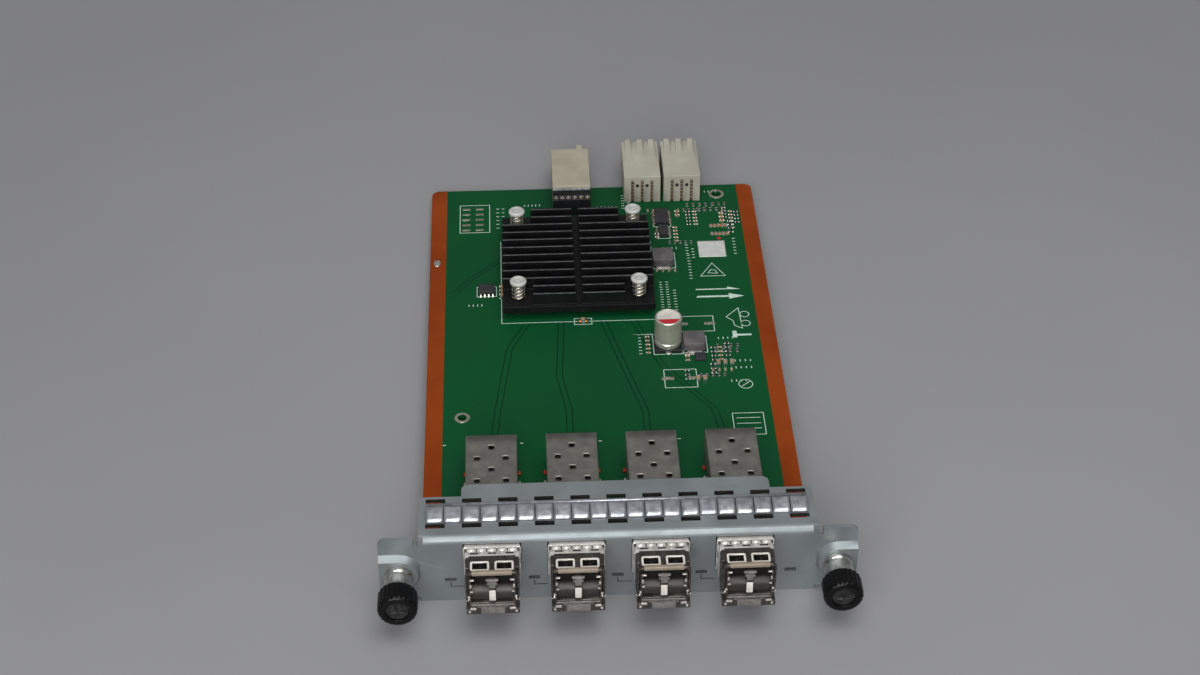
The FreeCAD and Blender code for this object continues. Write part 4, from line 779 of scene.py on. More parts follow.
def linked(name: str, data: bpy.types.ID) -> Node:
    """Puts data into the scene as an object.

    Args:
        name: Name of the object.
        data: Its mesh, lamp or camera.

    Returns:
        The object.
    """
    made = bpy.data.objects.new(name, data)
    bpy.context.scene.collection.objects.link(made)
    return made


def quads_of(index: np.ndarray) -> np.ndarray:
    """Corners of the quads between neighbouring points of an index grid."""
    corner = (index[:-1, :-1], index[1:, :-1], index[1:, 1:], index[:-1, 1:])
    return np.stack(corner, -1).reshape(-1, 4)


class Surface:
    """Gathers the grids of one piece, in millimetres, each with its finish."""

    def __init__(self) -> None:
        """Starts with no points."""
        self.points: list[np.ndarray] = []
        self.faces: list[list[int]] = []
        self.slots: list[int] = []
        self.finishes: list[Finish] = []
        self.count = 0

    def add(self, grid: np.ndarray, finish: Finish, loop: bool = False, ring: bool = True,
            caps: bool = True, inside: np.ndarray | None = None) -> "Surface":
        """Adds a grid of points as quads.

        With an inside point Q, all quads are turned over where the sum of n . (C - Q) over their
        normals n and centres C is below zero.

        Args:
            grid: Points, station by section point.
            finish: Finish of its faces.
            loop: True where the last station joins the first.
            ring: True where each section is closed.
            caps: True to close the first and last sections with one flat face each.
            inside: Point that the grid's faces look away from, for an open sheet.

        Returns:
            The same surface.
        """
        rows, columns = grid.shape[:2]
        index = np.arange(rows * columns).reshape(rows, columns) + self.count
        ends = [index[0].tolist(), index[-1][::-1].tolist()]
        if loop:
            index = np.vstack([index, index[:1]])
        if ring:
            index = np.hstack([index, index[:, :1]])
        quads = quads_of(index)
        if inside is not None:
            corner = grid.reshape(-1, 3)[quads - self.count]
            normal = np.cross(corner[:, 2] - corner[:, 0], corner[:, 3] - corner[:, 1])
            if np.sum(normal * (corner.mean(axis=1) - inside)) < 0:
                quads = quads[:, ::-1]
        faces = quads.tolist() + (ends if caps and ring and not loop else [])
        return self.take(grid.reshape(-1, 3), faces, finish)

    def take(self, points: np.ndarray, faces: list[list[int]], finish: Finish) -> "Surface":
        """Keeps points and the faces on them.

        Args:
            points: New points.
            faces: Corners of each face, counted from the surface's first point.
            finish: Finish of the faces.

        Returns:
            The same surface.
        """
        if finish not in self.finishes:
            self.finishes.append(finish)
        self.points.append(points)
        self.faces += faces
        self.slots += [self.finishes.index(finish)] * len(faces)
        self.count += len(points)
        return self

    def face(self, outline: np.ndarray, finish: Finish, inside: np.ndarray) -> "Surface":
        """Adds one flat face.

        Args:
            outline: Its corners in order.
            finish: Its finish.
            inside: Point that it looks away from.

        Returns:
            The same surface.
        """
        outline = np.asarray(outline, float)
        normal = np.cross(outline, np.roll(outline, -1, axis=0)).sum(axis=0)
        if normal @ (outline.mean(axis=0) - inside) < 0:
            outline = outline[::-1]
        return self.take(outline, [list(range(self.count, self.count + len(outline)))], finish)

    def brick(self, x: Span, y: Span, z: Span, edges: Span, finish: Finish,
              axis: Axis = Axis.Z) -> "Surface":
        """Adds a rounded block over three spans; edges are the radii of its corners and rims."""
        low, high = zip(x, y, z)
        return self.add(block(low, high, *edges, axis), finish)

    def lathe(self, profile: np.ndarray, centre: Place, finish: Finish, axis: Axis = Axis.Z,
              sides: int = 48) -> "Surface":
        """Adds a turned form that closes itself or meets the next one."""
        return self.add(turned(profile, centre, axis, sides), finish, caps=False)

    def drape(self, x: np.ndarray, y: np.ndarray, z: np.ndarray, finish: Finish,
              inside: np.ndarray) -> "Surface":
        """Adds an open sheet over a grid of X, Y and Z, looking away from the inside point."""
        return self.add(laid(x, y, z, Axis.Z), finish, ring=False, inside=inside)

    def piece(self, name: str, body: str, *stands_for: str, sheet: float = 0.0, bevel: float = 0.0,
              smooth: float = 38.0, oriented: bool = False) -> Node:
        """Makes the piece's object.

        Args:
            name: Name of the piece.
            body: Body that it moves with.
            stands_for: Frame nodes that it replaces.
            sheet: Thickness that an open surface gets on its inner side, or 0.
            bevel: Width of a bevel on its sharp edges, or 0.
            smooth: Edges sharper than this angle stay sharp.
            oriented: True for open faces that already look the right way.

        Returns:
            The object.
        """
        mesh = bpy.data.meshes.new(name)
        mesh.from_pydata((np.concatenate(self.points) * MM).tolist(), [], self.faces)
        mesh.polygons.foreach_set("material_index", np.array(self.slots, np.int32))
        for finish in self.finishes:
            mesh.materials.append(finish.material())
        work = bmesh.new()
        work.from_mesh(mesh)
        bmesh.ops.remove_doubles(work, verts=work.verts, dist=MERGE)
        if not sheet and not oriented:
            bmesh.ops.recalc_face_normals(work, faces=work.faces)
        work.to_mesh(mesh)
        work.free()
        mesh.shade_smooth()
        mesh.set_sharp_from_angle(angle=math.radians(smooth))
        made = linked(name, mesh)
        if sheet:
            wall = made.modifiers.new("Sheet", "SOLIDIFY")
            wall.thickness = sheet * MM
            wall.offset = -1.0
            wall.use_even_offset = True
        if bevel:
            soften(made, bevel)
        return dressed(made, body, stands_for)


def soften(made: Node, width: float, clamp: bool = False) -> None:
    """Adds a small bevel to a piece's sharp edges.

    Args:
        made: The piece.
        width: Width of the bevel.
        clamp: True to stop it where it would meet another.
    """
    bevel = made.modifiers.new("Soft edges", "BEVEL")
    bevel.width = width * MM
    bevel.segments = 2
    bevel.limit_method = "ANGLE"
    bevel.angle_limit = math.radians(BEVEL_ABOVE)
    bevel.use_clamp_overlap = clamp
    bevel.harden_normals = True


def softened(node: str, name: str, finish: Finish, width: float, clamp: bool = False) -> Node:
    """A merged copy of a frame node with soft edges, standing for it.

    Args:
        node: Frame node to copy.
        name: Name of the piece.
        finish: Its finish.
        width: Width of its bevels.
        clamp: True to stop a bevel where it would meet another.

    Returns:
        The object.
    """
    mesh = frame["nodes"][node].data.copy()
    mesh.name = name
    work = bmesh.new()
    work.from_mesh(mesh)
    bmesh.ops.remove_doubles(work, verts=work.verts, dist=MERGE)
    bmesh.ops.dissolve_limit(work, angle_limit=math.radians(FLAT_WITHIN), verts=work.verts,
                             edges=work.edges)
    work.to_mesh(mesh)
    work.free()
    mesh.materials.clear()
    mesh.materials.append(finish.material())
    mesh.shade_smooth()
    mesh.set_sharp_from_angle(angle=math.radians(SHARP_ABOVE))
    made = linked(name, mesh)
    soften(made, width, clamp)
    return dressed(made, body_of(node), (node,))


# ------------------------------------------------------------- sub-assemblies

@dataclass
class FrontPanel:
    """Folded panel with its spring gasket, brackets and printed lamp lines."""

    bevel: float = 0.14
    slot_rows: Span = (3.4, 14.4)
    flange_depth: float = 2.0
    upright: float = 0.5
    fingers: int = 21
    finger_gap: float = 0.35
    finger_rise: float = 1.75
    finger_line: tuple = ((0.0, 0.0), (0.05, 0.55), (0.45, 0.86), (0.80, 0.96), (1.0, 0.0))
    finger_ease: float = 1.0
    finger_height: float = 0.93
    finger_sway: float = 0.05
    dish: Span = (0.1, 0.05)
    waver: tuple[float, ...] = (2.4, 1.7, 0.6)
    finger_steps: int = 7
    crest_gap: float = 0.12
    front_gap: float = 0.25
    strip: float = 0.14
    spine: float = 1.3
    spine_line: tuple = ((0.0, 0.12), (0.3, 0.3), (0.75, 0.3), (0.85, 0.42), (1.3, 0.14))
    screw: Span = (1.25, 1.6)
    face_setback: float = 2.0
    ink_width: float = 0.34
    ink_rise: float = 0.02
    line_drop: float = 1.9
    line_reach: float = 3.6

    def sheet(self) -> Node:
        """The folded sheet with soft edges, and painted shade on the walls in the slots of its
        flange.

        Returns:
            The object.
        """
        made = softened("front_panel", "panel_sheet", ZINC, self.bevel, clamp=True)
        mesh = made.data
        mesh.materials.append(SLOT_WALL_SHADE.material())
        count = len(mesh.polygons)
        middle, normal, slots = np.zeros(3 * count), np.zeros(3 * count), np.zeros(count, np.int32)
        mesh.polygons.foreach_get("center", middle)
        mesh.polygons.foreach_get("normal", normal)
        y, z = middle.reshape(-1, 3)[:, 1:].T / MM
        in_flange = z > corners("front_panel")[1][2] - self.flange_depth
        within = (y > self.slot_rows[0]) & (y < self.slot_rows[1]) & in_flange
        # Upright faces inside the slot rows take the painted slot shade.
        slots[within & (abs(normal[2::3]) < self.upright)] = 1
        mesh.polygons.foreach_set("material_index", slots)
        return made

    def gasket(self) -> Node:
        """The gasket: each finger climbs to a crest, leans back and falls to the spine.

        A finger is its eased profile moved across its width, dished by cos(pi w) and tilted a
        little differently from its neighbours.

        Returns:
            The object.
        """
        low, high = corners("emi_gasket")
        base = high[2] - self.finger_rise
        top = high[2] - base - self.crest_gap
        rear = high[1] - self.strip
        front = low[1] + self.front_gap
        run = rear - self.spine - front
        under = np.array([0.0, (front + rear) / 2, base - 200.0])
        pitch = (high[0] - low[0]) / self.fingers
        along, height = np.array(self.finger_line).T
        line = np.column_stack([front + run * along, np.maximum(height * top, self.strip)])
        line = eased(line, self.finger_ease, 5)
        forward = (line[:, :1] - front) / run
        lift = np.clip((line[:, 1:] - self.strip) / (top - self.strip), 0, 1)
        across = np.linspace(-0.5, 0.5, self.finger_steps)[None, :]
        order = np.arange(self.fingers)
        leans = np.sin(order * self.waver[0])
        slopes = np.sin(order * self.waver[1] + self.waver[2])
        surface = Surface()
        for index, lean, slope in zip(order, leans, slopes):
            dish = self.dish[0] * lean * across - self.dish[1] * np.cos(np.pi * across)
            share = self.finger_height + self.finger_sway * slope * (1 - forward)
            x = low[0] + (index + 0.5) * pitch + across * (pitch - self.finger_gap)
            surface.drape(x, line[:, :1], base + line[:, 1:] * share + lift * dish, TIN, under)
        line = eased(np.array(self.spine_line) * (-1, 1) + (rear, base), 0.12)
        surface.drape(np.array([low[0], high[0]]), line[:, :1], line[:, 1:], TIN, under)
        return surface.piece("gasket_fingers", "card", "emi_gasket", sheet=0.1)

    def brackets(self) -> list[Node]:
        """The board's two angle brackets and their screws.

        Returns:
            The brackets and the screws.
        """
        surface = Surface()
        for low, high in solids("bracket_screws"):
            middle = (low + high) / 2
            radius, tall = (high[0] - low[0]) / 2, high[2] - low[2]
            shank, under = self.screw
            head = np.array([[0, 0.0], [radius * 0.6, 0.0], [radius, 0.7], [radius, under],
                             [shank, under], [shank, tall], [0, tall]])
            surface.lathe(tipped(head, 0.25), (*middle[:2], low[2]), NICKEL, sides=32)
        return [softened("board_brackets", "angle_brackets", ZINC, 0.1),
                surface.piece("bracket_screw_heads", "card", "bracket_screws")]

    def lamp_marks(self) -> Node:
        """Thin L-shaped lines from each lamp's window to its port.

        Returns:
            The object.
        """
        surface = Surface()
        face = corners("front_panel")[0][1] + self.face_setback
        lamps = solids("status_lamps")
        foot = lamps[0][0][2] + 0.1
        for low, high in lamps[:-1]:
            x, turn = (low[0] + high[0]) / 2, foot - self.line_drop
            line = np.array([[x, foot - 0.4], [x, turn], [x + self.line_reach, turn]])
            grid = ribbon(line, self.ink_width, -self.ink_rise, 0.0)
            surface.add(laid(grid[..., 0], grid[..., 1], face + grid[..., 2], Axis.Y), PANEL_INK)
        return surface.piece("lamp_lines", "card")

    def build(self) -> list[Node]:
        """Builds the panel and dresses its lamps."""
        dress(LENS, "status_lamps")
        return [self.sheet(), self.gasket(), *self.brackets(), self.lamp_marks()]


@dataclass
class Cages:
    """Sheet cages with round vents, and the finger collars round their mouths."""

    wall: float = 0.3
    bend: float = 0.45
    mouth_run: float = 3.0
    vent_radius: float = 0.85
    vent_cell: float = 1.25
    vent_rows: tuple[float, ...] = (5.0, 9.5, 14.0, 18.5)
    vent_side: float = 3.9
    vent_sides: int = 28
    dash: Span = (2.2, 0.5)
    dash_place: float = 1.62
    dash_offsets: tuple[float, ...] = (-4.6, 0.0, 4.6)
    stand: float = 0.1
    band: float = 2.2
    flare: float = 0.985
    block_run: float = 1.05
    bow: float = 0.42
    skirt: Span = (0.85, 0.7)
    slit: float = 0.36
    fingers: tuple[tuple[int, int], ...] = ((5, 1), (3, -1))
    margins: Span = (0.45, 0.4)
    side_bow: float = 0.6
    foot: tuple[float, float, float] = (0.9, 1.5, 0.7)
    foot_out: float = 0.45
    feet_back: tuple = ((5.4, COPPER), (9.6, SOLDER), (15.4, SOLDER))

    def roof(self, surface: Surface, low: np.ndarray, high: np.ndarray,
             stations: np.ndarray) -> None:
        """The roof: plain cells, and cells whose four corners fan out to a round vent.

        A vent's rim is (x + r cos v, y + r sin v) and each rim point's partner is the cell's corner
        in its own quarter. The rows have one vent in the middle and one on each side by turns.

        Args:
            surface: Surface that the cells go into.
            low: The cage's lowest corner.
            high: The cage's highest corner.
            stations: Y of every line across the roof.
        """
        middle, core, half = (low[0] + high[0]) / 2, (low + high) / 2, self.vent_cell
        cuts = [middle + side * self.vent_side + edge for side in (-1, 0, 1)
                for edge in (-half, half)]
        columns = np.array([low[0] + self.bend, *cuts, high[0] - self.bend])
        holes = {(round(middle + side * self.vent_side, 3), round(high[1] - back, 3))
                 for row, back in enumerate(self.vent_rows)
                 for side in (SIDES if row % 2 else (0,))}
        angle = (np.arange(self.vent_sides) + 0.5) * 2 * np.pi / self.vent_sides
        unit = np.stack([np.cos(angle), np.sin(angle)], -1)
        for x in zip(columns[:-1], columns[1:]):
            for y in zip(stations[:-1], stations[1:]):
                place = np.array([sum(x) / 2, sum(y) / 2])
                if tuple(place.round(3).tolist()) in holes:
                    ring = np.stack([place + self.vent_radius * unit, place + np.sign(unit) * half])
                    surface.add(laid(ring[..., 0], ring[..., 1], high[2], Axis.Z), CAGE_SHEET,
                                caps=False, inside=core)
                else:
                    surface.drape(np.array(x)[:, None], np.array(y), high[2], CAGE_SHEET, core)

    def cage(self, number: int) -> Node:
        """One cage: walls carried from mouth to rear, the vented roof and the closed rear.

        Args:
            number: Port number.

        Returns:
            The object.
        """
        node = f"cage_{number}"
        low, high = corners(node)
        core, half = (low + high) / 2, self.vent_cell
        edges = sorted(high[1] - row + edge for row in self.vent_rows for edge in (-half, half))
        stations = np.array([low[1], low[1] + self.mouth_run, *edges, high[1]])
        turn = np.linspace(0, np.pi / 2, 4)
        bend = self.bend * np.stack([1 - np.cos(turn), np.sin(turn) - 1], -1)
        right = np.column_stack([high[0] - bend[:, 0], high[2] + bend[:, 1]])
        left = np.column_stack([low[0] + bend[:, 0], high[2] + bend[:, 1]])
        wall = np.vstack([left[::-1], [[low[0], low[2]], [high[0], low[2]]], right])
        surface = Surface().drape(wall[:, 0], stations[:, None], wall[:, 1], CAGE_SHEET, core)
        self.roof(surface, low, high, stations)
        back = np.vstack([[[low[0], low[2]]], left, right[::-1], [[high[0], low[2]]]])
        surface.face(laid(back[:, 0], high[1], back[:, 1], Axis.Z), CAGE_SHEET, core)
        return surface.piece(f"port_cage_{number}", "card", node, sheet=self.wall)

    def feet(self) -> Node:
        """Red copper solder feet beside each cage's rear corners, and bright pins along its sides.

        Returns:
            The object.
        """
        surface = Surface()
        width, depth, rise = self.foot
        for low, high in (corners(f"cage_{number}") for number in PORTS):
            for side, edge in ((1, high[0]), (-1, low[0])):
                for back, finish in self.feet_back:
                    x, y = edge + side * width * self.foot_out, high[1] - back
                    surface.brick(about(x, width), about(y, depth), (low[2], low[2] + rise),
                                  (0.3, 0.25), finish)
        return surface.piece("cage_solder_feet", "card")

    def collar(self, surface: Surface, low: np.ndarray, high: np.ndarray, rear: float) -> None:
        """One collar: a band round the mouth, fingers rising to a fold, and a skirt to the panel.

        A ring of the skirt is ring + lift (ring - centre) / half.

        Args:
            surface: Surface that it goes into.
            low: The cage's lowest corner.
            high: The cage's highest corner.
            rear: Y where the skirt ends.
        """
        middle, mouth, core = (low[0] + high[0]) / 2, low[1], (low + high) / 2
        half, gap = (high[0] - low[0]) / 2 + self.stand, self.slit / 2
        under, over = low[2] - self.stand, high[2] + self.stand
        ring = rectangle((-half, half), (under, over))
        ring = eased(np.vstack([ring, ring[:2]]), 0.5, 5)[1:-1] + (middle, 0)
        centre = np.array([middle, (low[2] + high[2]) / 2])
        band = centre + (ring - centre) * np.array([self.flare, 1.0, 1.0])[:, None, None]
        y = np.array([mouth, mouth + 0.15, mouth + self.band])[:, None]
        surface.add(laid(band[..., 0], y, band[..., 1], Axis.Z), COLLAR_WITH_PAINTED_GLARE, caps=False, inside=core)
        along = mouth + self.band + np.array([[0.0], [self.block_run], [self.block_run + 0.12]])
        out = np.array([[0.0], [self.bow], [0.1]])
        for count, lift in self.fingers:
            edges = np.linspace(-half + self.margins[0], half - self.margins[0], count + 1)
            level = over if lift > 0 else under
            for left, right in zip(edges[:-1], edges[1:]):
                x = middle + np.array([left + gap, right - gap])
                surface.drape(x, along, level + lift * out, COLLAR_WITH_PAINTED_GLARE, core)
        heights = np.linspace(low[2] + self.margins[1], high[2] - self.margins[1], 3)
        for side in SIDES:
            for foot, head in zip(heights[:-1], heights[1:]):
                z = np.array([foot + gap, head - gap])
                x = middle + side * (half + self.side_bow * out)
                surface.drape(x, along, z, COLLAR_WITH_PAINTED_GLARE, core)
        lift = np.array([0.08, self.bow * self.skirt[0], self.bow * self.skirt[1], 0.0])
        skirt = ring + lift[:, None, None] * (ring - centre) / half
        last = along[-1, 0]
        y = np.array([last, last + 0.2, last + 0.5, rear])[:, None]
        surface.add(laid(skirt[..., 0], y, skirt[..., 1], Axis.Z), COLLAR_WITH_PAINTED_GLARE, caps=False, inside=core)

    def collars(self) -> list[Node]:
        """Finger collars round all four mouths, and dark plates in their bands that paint the shade
        of the catch slots.

        Returns:
            The collars and the slots.
        """
        surface, slots = Surface(), Surface()
        rear = corners("cage_collars")[1][1]
        for low, high in (corners(f"cage_{number}") for number in PORTS):
            self.collar(surface, low, high, rear)
            top = high[2] + self.stand
            # Each dash is a thin black plate on the band: painted shade standing for a slot
            # opening.
            for offset in self.dash_offsets:
                slots.brick(about((low[0] + high[0]) / 2 + offset, self.dash[0]),
                            about(low[1] + self.dash_place, self.dash[1]),
                            (top - 0.05, top + 0.015), (0.14, 0.01), BLACK_PLASTIC_AND_SHADE)
        return [surface.piece("finger_collars", "card", "cage_collars", sheet=0.08, smooth=14),
                slots.piece("collar_slot_shade", "card")]

    def build(self) -> list[Node]:
        """Builds four cages, their feet and collars, and dresses the sockets inside."""
        dress(BLACK_PLASTIC_AND_SHADE, "host_connectors")
        return [*(self.cage(number) for number in PORTS), self.feet(), *self.collars()]


@dataclass(frozen=True)
class Port:
    """Where a transceiver is: its middle in X, its nose's front and floor, its cage's mouth."""

    number: int
    x: float
    front: float
    floor: float
    mouth: float

    @property
    def body(self) -> str:
        """Name of the body that the transceiver's pieces ride on."""
        return f"transceiver_{self.number}"


@dataclass
class Transceivers:
    """Pluggable transceivers: die-cast shells, window rims, port liners, dividers, lips and bails.

    A step, catch or lip part is given by its place and size over the nose's floor.
    """

    pitch: float = 6.25
    port: Span = (4.5, 4.9)
    rim_round: float = 0.4
    nose_top: float = 12.1
    liner_setback: float = 0.7
    belly: tuple[float, float, float] = (2.2, 2.5, 5.75)
    # The near-white step is the latch block, painted as a highlight; the others are the divider's
    # own tones.
    steps: tuple = ((3.3, 11.75, 12.16, LIP), (1.9, 11.0, 11.85, LIP), (2.7, 10.5, 11.05, LIP),
                    (1.75, 9.3, 10.6, LIP), (1.7, 4.9, 8.4, WHITE_RIM_AND_LATCH_HIGHLIGHT), (1.1, 4.15, 5.1, DIE_CAST))
    step_proud: Span = (0.08, 0.05)
    # Catch ledges in near white: painted highlights for the glints at the ports' sides.
    catches: tuple = ((5.5, 9.9, 0.55, 1.1), (5.3, 8.0, 0.8, 0.5), (6.0, 6.1, 0.7, 0.5),
                      (5.1, 12.0, 1.1, 0.3))
    well_rear: float = 3.12
    window_rear: float = 2.5
    rim: Span = (4.9, 3.45)
    rim_wire: float = 0.55
    rim_rise: float = 0.28
    window_floor: float = 0.55
    # The side clips in near white are painted highlights; the middle tab and the ledge are the
    # lip's own tone.
    lips: tuple = ((0.0, 6.4, 0.42, (0.35, 2.75), (0.35, 0.2), LIP),
                   (-5.1, 1.7, 0.22, (1.6, 2.3), (0.2, 0.15), BRIGHT_NICKEL_AND_GLINTS),
                   (-6.0, 0.7, 0.14, (0.5, 1.2), (0.2, 0.12), BRIGHT_NICKEL_AND_GLINTS),
                   (5.1, 1.7, 0.22, (1.6, 2.3), (0.2, 0.15), BRIGHT_NICKEL_AND_GLINTS),
                   (6.0, 0.7, 0.14, (0.5, 1.2), (0.2, 0.12), BRIGHT_NICKEL_AND_GLINTS),
                   (0.0, 11.2, 0.16, (3.1, 3.55), (0.18, 0.12), LIP))
    strap: Span = (0.72, 1.0)
    pin: Span = (0.37, 1.1)

    def rims(self, port: Port) -> Node:
        """Bright frames round the two windows, carried round each, over near-black floors that
        paint the shade in the windows.

        Args:
            port: Where the transceiver is.

        Returns:
            The object.
        """
        surface = Surface()
        top, rear, wire = port.floor + self.nose_top, port.mouth - self.window_rear, self.rim_wire
        width, depth = self.rim
        floor = top - self.window_floor
        for side in SIDES:
            middle = port.x + side * self.pitch / 2
            frame_line = round_corners(width - wire, depth - wire, 0.3, np.zeros(1), 3)[0]
            frame_line = frame_line + (middle, rear - depth / 2)
            wires = ribbon(frame_line, wire, top - 0.1, top + self.rim_rise, closed=True)
            surface.add(wires, WHITE_RIM_AND_LATCH_HIGHLIGHT, loop=True)
            surface.brick(about(middle, width - wire), (rear - depth + 0.1, rear - 0.1),
                          (floor - 0.2, floor), (0.1, 0.05), PORT_SHADE)
        return surface.piece(f"window_rims_{port.number}", port.body, bevel=0.08)

    def liners(self, port: Port) -> Node:
        """Dark ports: a belly (y - r cos u, z + h sin u) across each, under a roof and well in near
        black that paints the shade inside the port.

        Args:
            port: Where the transceiver is.

        Returns:
            The object.
        """
        surface = Surface()
        front, floor = port.front, port.floor
        half = self.port[0] / 2 - 0.02
        depth, rise, middle_rise = self.belly
        turn = np.radians(np.linspace(-90, 90, 18))[:, None]
        y = front + self.liner_setback + depth * (1 - np.cos(turn))
        z = floor + middle_rise + rise * np.sin(turn)
        well = front + self.well_rear
        roof = np.array([[front + self.liner_setback + depth, floor + middle_rise + rise],
                         [well - 0.1, floor + 9.6], [well - 0.1, floor + 9.7],
                         [front + 2.62, floor + 9.72], [front + 2.62, floor + 11.95]])
        side_wall = rectangle((front + 0.25, front + 2.6), (floor + 9.1, floor + 11.8))
        for side in SIDES:
            middle = port.x + side * self.pitch / 2
            across = np.array([-1, -0.92, 0.92, 1]) * half + middle
            behind = np.array([middle, front + 6.0, floor + 6.0])
            surface.drape(across, y, z, LINER, behind)
            # Roof, well and side walls in near black: painted shade inside the port.
            surface.drape(across, roof[:, :1], roof[:, 1:], PORT_SHADE, behind)
            for edge in SIDES:
                wall = middle + edge * (self.port[0] / 2 + 0.03)
                surface.face(laid(wall, side_wall[:, 0], side_wall[:, 1], Axis.Z), PORT_SHADE,
                             behind + (edge * 9.0, 0, 0))
        return surface.piece(f"port_liners_{port.number}", port.body, oriented=True)

    def divider(self, port: Port) -> Node:
        """Stepped divider between the ports with a latch block painted near white as a highlight,
        and the catches beside them painted near white as glints.

        Args:
            port: Where the transceiver is.

        Returns:
            The object.
        """
        surface = Surface()
        for width, bottom, top, finish in self.steps:
            proud = self.step_proud[0] + width * self.step_proud[1]
            surface.brick(about(port.x, width), (port.front - proud, port.front + 0.6),
                          (port.floor + bottom, port.floor + top), (0.22, 0.16), finish, Axis.Y)
        for side in SIDES:
            for out, height, wide, tall in self.catches:
                surface.brick(about(port.x + side * out, wide),
                              (port.front - 0.16, port.front + 0.5),
                              about(port.floor + height, tall), (0.2, 0.15), BRIGHT_NICKEL_AND_GLINTS, Axis.Y)
        return surface.piece(f"port_divider_{port.number}", port.body)

    def lower_lip(self, port: Port) -> Node:
        """Pale tab on the lower lip, with its side clips painted near white as highlights, and the
        ledge over it.

        Args:
            port: Where the transceiver is.

        Returns:
            The object.
        """
        surface = Surface()
        for aside, width, proud, height, edges, finish in self.lips:
            surface.brick(about(port.x + aside, width), (port.front - proud, port.front + 0.3),
                          (port.floor + height[0], port.floor + height[1]), edges, finish, Axis.Y)
        return surface.piece(f"lower_lip_{port.number}", port.body)

    def bail(self, number: int) -> list[Node]:
        """Bail strap carried up one side, across and down the other, its pins and its grip.

        Args:
            number: Port number.

        Returns:
            The strap and the grip.
        """
        low, high = corners(f"bail_{number}")
        grip_low, grip_high = corners(f"bail_grip_{number}")
        x, bar = (low[0] + high[0]) / 2, (grip_low + grip_high) / 2
        wide, thick = self.strap[1], self.strap[0]
        pivot = np.array([high[1] - wide / 2, low[2] + wide / 2])
        side = (high[0] - low[0]) / 2 - thick / 2
        foot, top = pivot + (0.02, -0.1), bar[1:]
        waist = (foot + top) / 2
        route = np.array([[x - side, *foot], [x - side, *waist], [x - side, *top], [x, *top],
                          [x + side, *top], [x + side, *waist], [x + side, *foot]])
        section = round_corners(wide, thick, 0.25, np.zeros(1), 3)[0]
        lean = np.array([0, top[0] - foot[0], top[1] - foot[1]])
        normal = np.cross([1.0, 0, 0], lean / np.linalg.norm(lean))
        strap = Surface().add(carried(eased(route, 1.1, 6), section[:, ::-1], normal), DIE_CAST)
        for sign in SIDES:
            ends = sorted((x + sign * (side + self.pin[0]), x + sign * (side - self.pin[1])))
            run = ends[1] - ends[0]
            profile = np.array([[0, 0], [0.42, 0], [0.5, 0.08], [0.5, run], [0, run]])
            strap.lathe(profile, (ends[0], *pivot), BRIGHT_NICKEL_AND_GLINTS, Axis.X, 20)
        grip = Surface().add(block(grip_low, grip_high, 0.32, 0.2, Axis.X, 5), GRIP)
        body = f"bail_arm_{number}"
        return [strap.piece(f"bail_strap_{number}", body, f"bail_{number}"),
                grip.piece(f"bail_grip_bar_{number}", body, f"bail_grip_{number}")]

    def build(self) -> list[Node]:
        """Builds four transceivers with their bails, and dresses the parts inside.

        Returns:
            The objects.
        """
        made = []
        for number in PORTS:
            shell = f"transceiver_shell_{number}"
            low, high = corners(shell)
            port = Port(number, (low[0] + high[0]) / 2, low[1] + self.rim_round, low[2],
                        corners(f"cage_{number}")[0][1])
            dress(MASK, f"transceiver_board_{number}")
            dress(PIN, f"optical_barrels_{number}")
            made += [softened(shell, f"transceiver_casting_{number}", DIE_CAST, 0.12),
                     self.rims(port), self.liners(port), self.divider(port),
                     self.lower_lip(port), *self.bail(number)]
        return made


